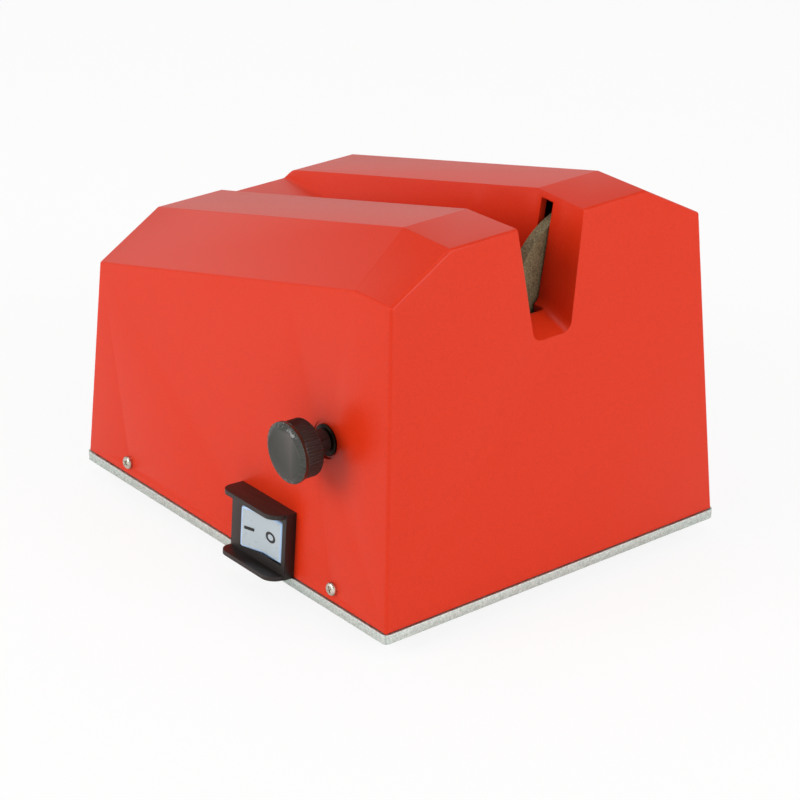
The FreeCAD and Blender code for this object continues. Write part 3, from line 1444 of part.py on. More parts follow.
def wing_shape(top):
    """One wing: level from its round tip, then an S made of two arcs down to the frame."""
    half = number("guard_long") / 2
    out = number("wing_out")
    frame = number("guard_front")
    tip = number("wing_tip_round")
    flat_end = half - number("wing_flat")
    low_end = -half + number("wing_end_gap")
    corner = tip * (1 - math.sqrt(0.5))

    def at(y, outward):
        return Vector(-outward, y, 0)

    middle = at((flat_end + low_end) / 2, (out + frame) / 2)
    run = flat_end - low_end
    drop = out - frame
    bend = (run * run + drop * drop) / (4 * drop)
    share = math.asin(run / 2 / bend) / 2
    upper = at(flat_end - bend * math.sin(share), out - bend * (1 - math.cos(share)))
    lower = at(low_end + bend * math.sin(share), frame + bend * (1 - math.cos(share)))
    wire = Part.Wire([
        Part.makeLine(at(half, 0), at(half, out - tip)),
        Part.Arc(at(half, out - tip), at(half - corner, out - corner), at(half - tip, out)).toShape(),
        Part.makeLine(at(half - tip, out), at(flat_end, out)),
        Part.Arc(at(flat_end, out), upper, middle).toShape(),
        Part.Arc(middle, lower, at(low_end, frame)).toShape(),
        Part.makeLine(at(low_end, frame), at(low_end, 0)),
        Part.makeLine(at(low_end, 0), at(half, 0)),
    ])
    wing = Part.Face(wire).extrude(Z_AXIS * number("wing_thick"))
    height = number("guard_tall") / 2 - number("wing_thick") if top else -number("guard_tall") / 2
    wing.translate(Z_AXIS * height)
    return wing


opening_shift = number("guard_y") - number("switch_y")
opening_raise = (number("switch_up") - number("guard_tall") / 2) / math.cos(math.radians(number("draft")))
guard_opening = Part.makeBox(
    40, number("opening_long"), number("opening_tall"),
    Vector(-20, opening_shift - number("opening_long") / 2,
           opening_raise - number("opening_tall") / 2))
guard_solid = guard_frame.Shape.copy()
guard_solid = guard_solid.fuse(wing_shape(True)).fuse(wing_shape(False))
guard_solid = guard_solid.cut(guard_opening).removeSplitter()
switch_guard = place(feature_of("switch_guard", guard_solid), "calc.guard_x", "calc.guard_at",
                     "calc.guard_height", axis=Y_AXIS, turn="dim.draft")


def rocker_shape():
    """A rocker whose two flat faces meet in a shallow V, at rest with its rear end standing out."""
    half = number("rocker_long") / 2
    tall = number("rocker_tall")
    pivot = number("rocker_pivot_deep")
    skirt = number("rocker_skirt")
    end = number("rocker_end") - pivot
    centre = number("rocker_centre") - pivot
    stem = number("stem_long") / 2
    under = skirt / 2
    points = [(-half, end), (0, centre), (half, end), (half + number("rocker_flare"), skirt),
              (stem, under), (-stem, under), (-half - number("rocker_flare"), skirt)]
    corners = [Vector(-outward, y, -tall / 2) for y, outward in points]
    cap = Part.Face(Part.makePolygon(corners + corners[:1])).extrude(Z_AXIS * tall)
    ends = []
    for edge in cap.Edges:
        box = edge.BoundBox
        if box.ZLength < 0.1 and box.YMin * box.YMax > 0 and -box.XMin > skirt + 1 and box.XLength > 1:
            if abs(edge.CenterOfMass.y) > half - 0.1:
                ends.append(edge)
    cap = cap.makeFillet(number("rocker_round"), ends)
    stem_tall = number("stem_tall")
    post = Part.makeBox(number("stem_deep") + under + 1, 2 * stem, stem_tall,
                        Vector(-under - 1, -stem, -stem_tall / 2))
    pin_long = stem_tall + 2 * (number("stem_gap") + number("rocker_pin_long"))
    pin = Part.makeCylinder(number("rocker_pin_radius"), pin_long,
                            Vector(pivot, 0, -pin_long / 2))
    for solid in (cap, post, pin):
        solid.rotate(Vector(pivot, 0, 0), Z_AXIS, number("rocker_throw") / 2)
    return cap.fuse(post).fuse(pin).removeSplitter()


rocker = on_switch_seat(feature_of("rocker", rocker_shape()))


def switch_shape():
    """The switch's case behind the guard, hollow where the rocker's stem swings."""
    slip = number("switch_slip")
    long = number("opening_long") - 2 * slip
    tall = number("opening_tall") - 2 * slip
    case = Part.makeBox(number("switch_deep"), long, tall, Vector(0, -long / 2, -tall / 2))
    tilt = math.radians(number("rocker_throw") / 2)
    gap = number("stem_gap")
    pivot = number("rocker_pivot_deep")
    stem = number("stem_long") / 2
    past = number("stem_deep") - pivot
    wide = 2 * (stem * math.cos(tilt) + max(past, pivot) * math.sin(tilt) + gap)
    deep = pivot + past * math.cos(tilt) + stem * math.sin(tilt) + gap
    inside = number("stem_tall") + 2 * gap
    hollow = Part.makeBox(deep + 1, wide, inside, Vector(-1, -wide / 2, -inside / 2))
    pin_hole = Part.makeCylinder(number("rocker_pin_radius") + number("running_slip"), 60,
                                 Vector(pivot, 0, -30))
    return case.cut(hollow).cut(pin_hole)


switch_body = on_switch_seat(feature_of("switch_body", switch_shape()))


def terminal_shapes():
    """Three flat blades on the back of the switch."""
    blades = []
    wide = number("terminal_wide")
    for i in (-1, 0, 1):
        low = Vector(number("switch_deep"), i * number("terminal_pitch") - wide / 2,
                     -number("terminal_thick") / 2)
        blades.append(Part.makeBox(number("terminal_long"), wide, number("terminal_thick"), low))
    return Part.makeCompound(blades)


switch_terminals = on_switch_seat(feature_of("switch_terminals", terminal_shapes()))

# The nodes, each written to a file of its own

NODES = [
    "base_plate", "rubber_feet", "foot_screws", "foot_nuts",
    "cover", "cover_screws", "cover_blocks", "block_screws",
    "switch_guard", "switch_body", "switch_terminals", "rocker",
    "adjust_knob", "adjusting_spindle", "retaining_collar", "spindle_bush", "bush_nut",
    "trunnion_nut", "swing_arm", "pivot_pedestal", "countershaft", "countershaft_bearings",
    "countershaft_pulley", "driven_gear", "drive_gear",
    "motor_shaft", "rotor_core", "motor_pulley", "motor_fan", "motor_housing", "motor_front_cap",
    "motor_rear_cap", "stator_core", "stator_windings", "motor_bearings", "motor_cradle",
    "motor_screws", "run_capacitor", "capacitor_clip", "clip_screw", "terminal_block",
    "cable_grommet", "right_pedestal", "right_bearings", "right_spindle", "right_wheel",
    "right_flanges", "right_nut", "right_pulley", "right_belt", "pedestal_screws",
    "left_bearings", "left_spindle", "left_wheel", "left_flanges", "left_nut", "left_pulley",
    "left_belt",
]

doc.recompute()
for thing in doc.Objects:
    for word in thing.State:
        if word in ("Invalid", "Error"):
            raise RuntimeError("%s is %s" % (thing.Label, word))

os.makedirs("parts", exist_ok=True)
for node in NODES:
    piece = doc.getObjectsByLabel(node)[0]
    if piece.Shape.isNull() or not piece.Shape.isValid():
        raise RuntimeError("%s has no sound shape" % node)
    piece.Shape.exportStep("parts/%s.step" % node)
print("%d nodes written" % len(NODES))
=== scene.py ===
# %% [markdown]
# Electric knife sharpener. The sharpener is a red powder-coated cover on an aluminium plate, with two
# abrasive wheels that cross in a sloping trough. The solid model comes first and gives every piece its
# size and place. This file dresses it: it adds the finishes, rounds the edges that catch the light, and
# models the small things that a solid model leaves plain, such as screw recesses and the marks of the
# rocker.

# %% Load the solid model as a fixed frame
import math

import bpy
from mathutils import Matrix, Vector


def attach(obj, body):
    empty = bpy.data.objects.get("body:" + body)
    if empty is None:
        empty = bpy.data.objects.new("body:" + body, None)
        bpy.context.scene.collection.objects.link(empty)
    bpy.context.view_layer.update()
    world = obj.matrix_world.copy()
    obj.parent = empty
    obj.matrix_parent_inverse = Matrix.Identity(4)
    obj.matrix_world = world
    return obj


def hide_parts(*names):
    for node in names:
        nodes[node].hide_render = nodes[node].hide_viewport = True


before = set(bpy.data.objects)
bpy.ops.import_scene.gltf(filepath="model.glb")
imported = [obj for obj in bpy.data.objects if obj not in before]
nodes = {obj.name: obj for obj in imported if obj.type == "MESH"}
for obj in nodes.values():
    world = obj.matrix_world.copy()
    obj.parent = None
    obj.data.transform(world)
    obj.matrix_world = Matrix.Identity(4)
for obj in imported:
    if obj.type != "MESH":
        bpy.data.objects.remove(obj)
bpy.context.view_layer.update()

scene = bpy.context.scene

# %% [markdown]
# Blender counts in metres, and this machine is drawn in millimetres, so one value turns one into the
# other. A pattern in a material has a scale of repeats per metre, so its real size in millimetres is
# turned into a scale the same way.

# %% Units
MM = 0.001


def repeats(millimetres):
    """The scale of a pattern whose features are this many millimetres across."""
    return 1000.0 / millimetres


# %% [markdown]
# Colours are written as the hex values that a paint chart or a photo editor shows. Those are sRGB, and
# the shaders work on linear light, so one function turns each channel from one to the other.

# %% Colours
def colour(code, alpha=1.0):
    """A linear colour from an sRGB hex value."""
    channels = [int(code[i:i + 2], 16) / 255 for i in (1, 3, 5)]
    linear = [c / 12.92 if c <= 0.04045 else ((c + 0.055) / 1.055) ** 2.4 for c in channels]
    return (*linear, alpha)


print("powder red in linear light:", [round(c, 3) for c in colour("#CE2E0F")])

# %% [markdown]
# A material is a small tree of nodes. One helper adds a node, gives it its settings and fills its
# sockets, from plain values or from the outputs of other nodes. Every pattern here reads Object
# coordinates, which are real metres on the piece, because the pieces all sit at the origin.

# %% Node helper
def add_node(material, kind, sockets=None, **settings):
    """Adds a node with its settings. sockets holds values, or outputs of other nodes to link."""
    tree = material.node_tree
    node = tree.nodes.new(kind)
    for name, value in settings.items():
        setattr(node, name, value)
    for name, value in (sockets or {}).items():
        if isinstance(value, bpy.types.NodeSocket):
            tree.links.new(value, node.inputs[name])
        else:
            node.inputs[name].default_value = value
    return node


def begin(name, base, roughness, metallic=0.0, ior=1.5):
    """Starts a material and returns it with its shader and its Object coordinates."""
    material = bpy.data.materials.new(name)
    material.use_nodes = True
    surface = material.node_tree.nodes["Principled BSDF"]
    surface.inputs["Base Color"].default_value = colour(base)
    surface.inputs["Roughness"].default_value = roughness
    surface.inputs["Metallic"].default_value = metallic
    surface.inputs["IOR"].default_value = ior
    where = add_node(material, "ShaderNodeTexCoord").outputs["Object"]
    return material, surface, where


def join(material, output, surface, socket):
    material.node_tree.links.new(output, surface.inputs[socket])


# %% [markdown]
# Powder coat. The cover is steel, sprayed with dry red polyester powder and baked until it flows. It
# never flows quite flat: it keeps an orange peel of shallow hills a few millimetres apart, with a finer
# grain between them. That breaks reflections up, so a flat side looks even and only half glossy. Two
# noises of those sizes drive a faint bump, and the finer one also moves the roughness and the tone.

# %% Powder coat
def powder_coat():
    material, surface, where = begin("powder_coat_red", "#CE2E0F", 0.33, ior=1.30)
    peel = add_node(material, "ShaderNodeTexNoise", {
        "Vector": where, "Scale": repeats(3.2), "Detail": 2.0})
    grain = add_node(material, "ShaderNodeTexNoise", {
        "Vector": where, "Scale": repeats(0.7), "Detail": 3.0})
    tone = add_node(material, "ShaderNodeValToRGB", {"Fac": grain.outputs["Fac"]})
    tone.color_ramp.elements[0].position = 0.32
    tone.color_ramp.elements[0].color = colour("#CA2C0E")
    tone.color_ramp.elements[1].position = 0.66
    tone.color_ramp.elements[1].color = colour("#D2300F")
    join(material, tone.outputs["Color"], surface, "Base Color")
    gloss = add_node(material, "ShaderNodeMapRange", {
        "Value": grain.outputs["Fac"], "From Min": 0.3, "From Max": 0.7,
        "To Min": 0.30, "To Max": 0.38})
    join(material, gloss.outputs["Result"], surface, "Roughness")
    hills = add_node(material, "ShaderNodeBump", {
        "Height": peel.outputs["Fac"], "Strength": 0.10, "Distance": 0.12 * MM})
    fine = add_node(material, "ShaderNodeBump", {
        "Height": grain.outputs["Fac"], "Strength": 0.06, "Distance": 0.05 * MM,
        "Normal": hills.outputs["Normal"]})
    join(material, fine.outputs["Normal"], surface, "Normal")
    return material


red_coat = powder_coat()

# %% [markdown]
# Raw aluminium. The plate is cut from rolled sheet and left bare. Its sawn edge is dull and speckled,
# with short scratches along the cut, and its faces show the roll marks. A metal's colour is its
# reflection, so the speckle goes into the colour and the bump, and the scratches into the roughness and
# the bump: a second noise, stretched along the plate by a Mapping node.

# %% Raw aluminium
def raw_aluminium():
    material, surface, where = begin("raw_aluminium", "#CAD5D0", 0.42, metallic=1.0)
    stretched = add_node(material, "ShaderNodeMapping", {"Vector": where, "Scale": (0.22, 0.22, 1.6)})
    scratch = add_node(material, "ShaderNodeTexNoise", {
        "Vector": stretched.outputs["Vector"], "Scale": repeats(0.45), "Detail": 4.0,
        "Roughness": 0.7})
    speckle = add_node(material, "ShaderNodeTexNoise", {
        "Vector": where, "Scale": repeats(0.8), "Detail": 4.0, "Roughness": 0.75})
    tone = add_node(material, "ShaderNodeValToRGB", {"Fac": speckle.outputs["Fac"]})
    tone.color_ramp.elements[0].position = 0.36
    tone.color_ramp.elements[0].color = colour("#B4BFBA")
    tone.color_ramp.elements[1].position = 0.62
    tone.color_ramp.elements[1].color = colour("#DDE7E2")
    join(material, tone.outputs["Color"], surface, "Base Color")
    dull = add_node(material, "ShaderNodeMapRange", {
        "Value": scratch.outputs["Fac"], "From Min": 0.3, "From Max": 0.7,
        "To Min": 0.34, "To Max": 0.62})
    join(material, dull.outputs["Result"], surface, "Roughness")
    rough = add_node(material, "ShaderNodeBump", {
        "Height": scratch.outputs["Fac"], "Strength": 0.22, "Distance": 0.08 * MM})
    pits = add_node(material, "ShaderNodeBump", {
        "Height": speckle.outputs["Fac"], "Strength": 0.18, "Distance": 0.10 * MM,
        "Normal": rough.outputs["Normal"]})
    join(material, pits.outputs["Normal"], surface, "Normal")
    return material


plate_metal = raw_aluminium()

# %% [markdown]
# Moulded plastics and rubbers. A moulded piece copies its mould, and black mouldings like the guard
# come from a spark-eroded mould: a satin grain about half a millimetre across. Rubber feet are the same
# with less shine. One function makes them all, because only the colour, the grain and the shine differ.

# %% Moulded plastics and rubbers
def moulded(name, dark, light, roughness, grain_size, depth):
    """A moulded finish: two close tones, a roughness and a satin grain, sizes in millimetres."""
    material, surface, where = begin(name, dark, roughness)
    grain = add_node(material, "ShaderNodeTexNoise", {
        "Vector": where, "Scale": repeats(grain_size), "Detail": 3.0, "Roughness": 0.6})
    tone = add_node(material, "ShaderNodeValToRGB", {"Fac": grain.outputs["Fac"]})
    tone.color_ramp.elements[0].position = 0.35
    tone.color_ramp.elements[0].color = colour(dark)
    tone.color_ramp.elements[1].position = 0.68
    tone.color_ramp.elements[1].color = colour(light)
    join(material, tone.outputs["Color"], surface, "Base Color")
    shine = add_node(material, "ShaderNodeMapRange", {
        "Value": grain.outputs["Fac"], "From Min": 0.3, "From Max": 0.7,
        "To Min": roughness - 0.06, "To Max": roughness + 0.08})
    join(material, shine.outputs["Result"], surface, "Roughness")
    bump = add_node(material, "ShaderNodeBump", {
        "Height": grain.outputs["Fac"], "Strength": 0.3, "Distance": depth * MM})
    join(material, bump.outputs["Normal"], surface, "Normal")
    return material


guard_plastic = moulded("satin_black_abs", "#17110E", "#221A16", 0.40, 0.45, 0.04)
knob_rim_plastic = moulded("knurled_phenolic", "#1B120E", "#2A1D17", 0.48, 0.35, 0.05)
foot_rubber = moulded("foot_rubber", "#171717", "#202020", 0.72, 0.6, 0.06)
grommet_rubber = moulded("grommet_rubber", "#141414", "#1C1C1C", 0.62, 0.5, 0.04)
belt_rubber = moulded("fabric_faced_belt", "#221E1A", "#35302A", 0.80, 0.5, 0.10)
fan_nylon = moulded("natural_nylon", "#D2CDBE", "#DEDACC", 0.42, 1.2, 0.02)
terminal_polyamide = moulded("terminal_polyamide", "#DAD7CC", "#E6E3D9", 0.50, 0.7, 0.02)

# %% [markdown]
# The glossy plastics are the rocker's two and the polished face of the knob. The rocker is moulded
# twice: a clear bluish rim that light shines through, and a pale face with its marks. The rim is given
# some subsurface scattering, so that light soaks in and its edges glow blue. The knob's face is a
# phenolic polished on a wheel. All three are nearly smooth, with a very faint wave for a grain.

# %% Glossy plastics
def glossy_plastic(name, base, scatter, roughness):
    """A smooth plastic. scatter is how much of the light soaks in and spreads."""
    material, surface, where = begin(name, base, roughness, ior=1.58)
    surface.inputs["Subsurface Weight"].default_value = scatter
    surface.inputs["Subsurface Radius"].default_value = (0.6, 0.8, 1.0)
    surface.inputs["Subsurface Scale"].default_value = 1.5 * MM
    wave = add_node(material, "ShaderNodeTexNoise", {
        "Vector": where, "Scale": repeats(2.5), "Detail": 2.0})
    shine = add_node(material, "ShaderNodeMapRange", {
        "Value": wave.outputs["Fac"], "From Min": 0.3, "From Max": 0.7,
        "To Min": roughness - 0.04, "To Max": roughness + 0.06})
    join(material, shine.outputs["Result"], surface, "Roughness")
    bump = add_node(material, "ShaderNodeBump", {
        "Height": wave.outputs["Fac"], "Strength": 0.08, "Distance": 0.05 * MM})
    join(material, bump.outputs["Normal"], surface, "Normal")
    return material


rocker_face_plastic = glossy_plastic("pale_polycarbonate", "#ABB8BE", 0.05, 0.30)
rocker_rim_plastic = glossy_plastic("clear_blue_polycarbonate", "#A9C4E4", 0.35, 0.18)
knob_face_plastic = glossy_plastic("polished_phenolic", "#1B1C14", 0.0, 0.20)
mark_ink = moulded("black_mark_ink", "#0D0D0D", "#141414", 0.5, 0.5, 0.01)

# %% [markdown]
# Metals. Turned and ground steel, nickel plate, brass and cast aluminium differ in tint, in how rough
# they are, and in the marks of the tool. Turned pieces carry fine rings round their axis. The wheels'
# and the motor's shafts lie along Y, so noise that is squeezed along Y gives rings a fraction of a
# millimetre wide.

# %% Metals
def metal(name, dark, light, roughness, grain_size, squeeze, depth):
    """A bare metal. squeeze turns the grain into marks: rings when its Y value is high."""
    material, surface, where = begin(name, light, roughness, metallic=1.0)
    marks = add_node(material, "ShaderNodeMapping", {"Vector": where, "Scale": squeeze})
    grain = add_node(material, "ShaderNodeTexNoise", {
        "Vector": marks.outputs["Vector"], "Scale": repeats(grain_size), "Detail": 3.0,
        "Roughness": 0.65})
    tone = add_node(material, "ShaderNodeValToRGB", {"Fac": grain.outputs["Fac"]})
    tone.color_ramp.elements[0].position = 0.34
    tone.color_ramp.elements[0].color = colour(dark)
    tone.color_ramp.elements[1].position = 0.66
    tone.color_ramp.elements[1].color = colour(light)
    join(material, tone.outputs["Color"], surface, "Base Color")
    polish = add_node(material, "ShaderNodeMapRange", {
        "Value": grain.outputs["Fac"], "From Min": 0.3, "From Max": 0.7,
        "To Min": roughness - 0.07, "To Max": roughness + 0.10})
    join(material, polish.outputs["Result"], surface, "Roughness")
    bump = add_node(material, "ShaderNodeBump", {
        "Height": grain.outputs["Fac"], "Strength": 0.3, "Distance": depth * MM})
    join(material, bump.outputs["Normal"], surface, "Normal")
    return material


EVEN = (1.0, 1.0, 1.0)
RINGS = (0.2, 3.0, 0.2)
nickel = metal("nickel_plate", "#BDB8AC", "#E4DFD2", 0.22, 1.5, EVEN, 0.01)
turned_steel = metal("turned_steel", "#8E8F90", "#B9BABB", 0.32, 0.8, RINGS, 0.03)
ground_steel = metal("ground_bearing_steel", "#8A8E94", "#AEB2B8", 0.20, 0.6, RINGS, 0.01)
gear_brass = metal("machined_brass", "#A8854A", "#CDA968", 0.30, 0.8, RINGS, 0.02)
# The bush is brass, painted near black: painted shade where the knob's neck meets the cover's wall.
painted_shade_brass = metal("painted_shade_brass", "#1B1613", "#2B2420", 0.45, 0.8, EVEN, 0.02)
cast_aluminium = metal("cast_aluminium", "#8B8D8E", "#B0B2B2", 0.55, 0.9, EVEN, 0.12)
zinc_sheet = metal("zinc_plated_sheet", "#A3A7AA", "#C6CACC", 0.35, 5.0, EVEN, 0.02)
drawn_can = metal("drawn_aluminium_can", "#B4B6B7", "#D3D5D6", 0.28, 0.9, RINGS, 0.02)

# %% [markdown]
# The motor's core is a stack of thin punched sheets, and its coils are wound from enamelled copper
# wire. Both are fine stripes. A Wave texture in its bands mode gives them, one stripe to a sheet along
# the motor's axis or to a wire round it, with a little distortion so that no stripe is perfect.

# %% Motor stripes
# A Wave texture repeats every 2 pi / 20 units at scale 1. Divided by this, each of its stripes, light
# or dark, comes out about one band wide.
STRIPE_DIVISOR = 6.2832


def striped(name, dark, light, band, axis, metallic, roughness, wander):
    """Stripes of one real width in millimetres along an axis. wander bends them a little."""
    material, surface, where = begin(name, light, roughness, metallic=metallic)
    bands = add_node(material, "ShaderNodeTexWave", {
        "Vector": where, "Scale": repeats(band) / STRIPE_DIVISOR, "Distortion": wander,
        "Detail": 1.0, "Detail Scale": 2.0}, bands_direction=axis)
    tone = add_node(material, "ShaderNodeValToRGB", {"Fac": bands.outputs["Fac"]})
    tone.color_ramp.elements[0].color = colour(dark)
    tone.color_ramp.elements[1].color = colour(light)
    join(material, tone.outputs["Color"], surface, "Base Color")
    bump = add_node(material, "ShaderNodeBump", {
        "Height": bands.outputs["Fac"], "Strength": 0.5, "Distance": 0.1 * MM})
    join(material, bump.outputs["Normal"], surface, "Normal")
    return material


laminated_steel = striped("laminated_steel", "#4A4B4D", "#77797B", 0.5, "Y", 1.0, 0.45, 0.3)
copper_winding = striped("enamelled_copper", "#7A3B1A", "#B8653A", 0.8, "Z", 0.9, 0.30, 1.5)

# %% [markdown]
# Bonded abrasive. The wheels are hard grit in an olive-brown bond. Up close that is dark and light
# grains about half a millimetre across, in a matt body. Voronoi cells make the grains, and a stretched
# noise over them gives the streaks that dressing the wheel leaves down its face.

# %% Bonded abrasive
def bonded_abrasive():
    material, surface, where = begin("bonded_abrasive", "#6B6245", 0.85)
    grit = add_node(material, "ShaderNodeTexVoronoi", {"Vector": where, "Scale": repeats(0.55)})
    grit_tone = add_node(material, "ShaderNodeSeparateColor", {"Color": grit.outputs["Color"]})
    dressing = add_node(material, "ShaderNodeMapping", {"Vector": where, "Scale": (1.5, 1.5, 0.12)})
    streak = add_node(material, "ShaderNodeTexNoise", {
        "Vector": dressing.outputs["Vector"], "Scale": repeats(1.0), "Detail": 4.0, "Roughness": 0.7})
    mix = add_node(material, "ShaderNodeMath", {
        0: grit_tone.outputs["Red"], 1: 0.45}, operation="MULTIPLY")
    both = add_node(material, "ShaderNodeMath", {
        0: mix.outputs["Value"], 1: streak.outputs["Fac"]}, operation="ADD")
    tone = add_node(material, "ShaderNodeValToRGB", {"Fac": both.outputs["Value"]})
    tone.color_ramp.elements[0].position = 0.42
    tone.color_ramp.elements[0].color = colour("#554D35")
    tone.color_ramp.elements[1].position = 0.98
    tone.color_ramp.elements[1].color = colour("#8B8160")
    join(material, tone.outputs["Color"], surface, "Base Color")
    bump = add_node(material, "ShaderNodeBump", {
        "Height": grit.outputs["Distance"], "Strength": 0.7, "Distance": 0.25 * MM})
    join(material, bump.outputs["Normal"], surface, "Normal")
    return material


abrasive = bonded_abrasive()

# %% [markdown]
# Every solid of the frame now gets the finish of the real piece, except the spindle bush, whose brass
# is painted near black as painted shade. The names on the left are materials, and the words beside them
# are the nodes that are made of them.

# %% Finishes of the solid pieces
FINISHES = [
    (red_coat, "cover"),
    (plate_metal, "base_plate"),
    (foot_rubber, "rubber_feet"),
    (grommet_rubber, "cable_grommet"),
    (guard_plastic, "switch_guard switch_body"),
    (rocker_face_plastic, "rocker"),
    (knob_rim_plastic, "adjust_knob"),
    (nickel, "cover_screws foot_screws foot_nuts block_screws motor_screws pedestal_screws clip_screw"
             " left_nut right_nut bush_nut"),
    (turned_steel, "adjusting_spindle retaining_collar countershaft motor_shaft left_spindle"
                   " right_spindle left_flanges right_flanges left_pulley right_pulley motor_pulley"
                   " countershaft_pulley drive_gear"),
    (ground_steel, "countershaft_bearings motor_bearings left_bearings right_bearings"),
    (gear_brass, "driven_gear trunnion_nut switch_terminals"),
    # painted shade: the brass bush is made near black for the shade round the knob's neck
    (painted_shade_brass, "spindle_bush"),
    (cast_aluminium, "cover_blocks swing_arm pivot_pedestal right_pedestal motor_front_cap"
                     " motor_rear_cap motor_housing"),
    (zinc_sheet, "motor_cradle capacitor_clip"),
    (laminated_steel, "rotor_core stator_core"),
    (copper_winding, "stator_windings"),
    (abrasive, "left_wheel right_wheel"),
    (fan_nylon, "motor_fan"),
    (drawn_can, "run_capacitor"),
    (terminal_polyamide, "terminal_block"),
    (belt_rubber, "left_belt right_belt"),
]


def paint(piece, *finishes):
    """Gives a piece its finishes, in the order of its material slots."""
    piece.data.materials.clear()
    for finish in finishes:
        piece.data.materials.append(finish)


dressed = set()
for finish, names in FINISHES:
    for name in names.split():
        paint(nodes[name], finish)
        dressed.add(name)
print("nodes with no finish yet:", sorted(set(nodes) - dressed))

# %% [markdown]
# Modelling by hand starts with a clean selection, and each operator then works on what is selected.
# Helpers do the selecting: one deselects everything, one makes a piece the active one, and one picks
# faces, edges or vertices by a rule, such as where they are or which way they face. Two more add
# modifiers, a Bevel that rounds sharp edges and a Boolean. The last one finishes a piece: it puts its
# place into its mesh, smooths the shading between gentle angles and says which body carries it.

# %% Selecting and finishing helpers
def object_mode():
    bpy.ops.object.mode_set(mode="OBJECT")


def bake_place():
    """Puts the selected piece's place, turn and size into its mesh."""
    bpy.ops.object.transform_apply(location=True, rotation=True, scale=True)


def clear_selection():
    if bpy.context.object and bpy.context.object.mode != "OBJECT":
        object_mode()
    bpy.ops.object.select_all(action="DESELECT")


def activate(piece):
    clear_selection()
    piece.select_set(True)
    bpy.context.view_layer.objects.active = piece


def choose(piece, kind, rule):
    """Leaves the piece in edit mode with only the faces, edges or vertices that pass the rule."""
    activate(piece)
    bpy.ops.object.mode_set(mode="EDIT")
    bpy.ops.mesh.select_mode(type=kind)
    bpy.ops.mesh.select_all(action="DESELECT")
    object_mode()
    mesh = piece.data
    elements = {"FACE": mesh.polygons, "EDGE": mesh.edges, "VERT": mesh.vertices}[kind]
    for element in elements:
        element.select = bool(rule(element))
    bpy.ops.object.mode_set(mode="EDIT")


def ends(piece, edge):
    """The two end points of an edge."""
    return [piece.data.vertices[i].co for i in edge.vertices]


def apply_all(piece):
    activate(piece)
    for modifier in list(piece.modifiers):
        bpy.ops.object.modifier_apply(modifier=modifier.name)


def round_edges(piece, width, segments, limit, clamp=True):
    """Rounds every edge sharper than the limit. Width in millimetres, limit in degrees."""
    rounding = piece.modifiers.new("rounding", "BEVEL")
    rounding.width = width * MM
    rounding.segments = segments
    rounding.limit_method = "ANGLE"
    rounding.angle_limit = math.radians(limit)
    rounding.use_clamp_overlap = clamp


def combine(piece, other, how):
    """A Boolean of two pieces, after which the second is gone."""
    change = piece.modifiers.new("combine", "BOOLEAN")
    change.operation = how
    change.object = other
    change.solver = "EXACT"
    apply_all(piece)
    bpy.data.objects.remove(other)


def finish_piece(piece, name, body, replaced=(), smooth=35):
    """Bakes the piece's place into its mesh, names it and hands it to the body that carries it."""
    apply_all(piece)
    bake_place()
    bpy.ops.object.shade_smooth_by_angle(angle=math.radians(smooth))
    piece.name = name
    piece.data.name = name
    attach(piece, body)
    if replaced:
        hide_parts(*replaced)
    low, high = [Vector(c) for c in (piece.bound_box[0], piece.bound_box[6])]
    size = [round(d / MM, 1) for d in high - low]
    print(name, "is", size, "mm, with", len(piece.data.polygons), "faces")
    return piece


# %% [markdown]
# Real edges are never knife sharp: a folded or cut edge keeps a small radius, and that radius is what
# draws the bright line round the notch and the guard. The solid pieces have perfectly sharp cuts, so a
# copy of each is cleaned of its triangles, and a Bevel modifier rounds every edge sharper than a limit.
# The copy then stands for the solid. A Bevel modifier was chosen because it follows every cut at once.
# The cover's lowest edge is lifted half a millimetre, which leaves the dark gap above the plate.

# %% Rounded edges
WELD = 0.002                # vertices this close are one
FLAT = 0.5                  # faces that differ by fewer degrees are one


def soften(node, name, body, width, limit=30, segments=3, lift=0, smooth=35, keep=None,
           clamp=True):
    """A copy of a solid with rounded edges. keep is a place and a direction: only what lies beyond
    the place in that direction is kept."""
    piece = bpy.data.objects.new(name, nodes[node].data.copy())
    scene.collection.objects.link(piece)
    activate(piece)
    bpy.ops.object.mode_set(mode="EDIT")
    bpy.ops.mesh.select_mode(type="VERT")
    bpy.ops.mesh.select_all(action="SELECT")
    bpy.ops.mesh.remove_doubles(threshold=WELD * MM)
    bpy.ops.mesh.dissolve_limited(angle_limit=math.radians(FLAT), delimit={"NORMAL"})
    object_mode()
    if lift:
        lowest = min(point.co.z for point in piece.data.vertices) + 0.01 * MM
        choose(piece, "VERT", lambda point: point.co.z < lowest)
        bpy.ops.transform.translate(value=(0, 0, lift * MM))
        object_mode()
    if keep:
        place, outward = keep
        activate(piece)
        bpy.ops.object.mode_set(mode="EDIT")
        bpy.ops.mesh.select_all(action="SELECT")
        bpy.ops.mesh.bisect(plane_co=place, plane_no=outward, use_fill=True, clear_inner=True)
        object_mode()
    if width:
        round_edges(piece, width, segments, limit, clamp)
    return finish_piece(piece, name, body, [node], smooth)


soften("cover", "cover_shell", "housing", width=1.1, lift=0.5)
soften("base_plate", "plate_sheet", "housing", width=0.4)

# %% [markdown]
# The knob and its bush share one level axis, which runs across the machine. The solid knob has its
# rounding and its flutes, so its copy gets no bevel. Its front face is made flat and whole, so that the
# polish is even, and a second material covers the face and its bevel. The neck behind the rim and the
# bush's flange are scaled in towards the axis, because both look slimmer in reality than in the solid.

# %% Knob and bush
KNOB_AXIS = (-59.9, 69.7)   # where the axis is: along the cover, and up from the plate's underside
NECK = (6.3, 6.9)           # the neck's vertices lie between these distances from the axis
NECK_SCALE = 0.76
BUSH_BODY = 6.6             # the bush's vertices beyond this distance are its flange
FLANGE_SCALE = 0.88
POLISHED = 2.55             # the polish reaches this far back from the face


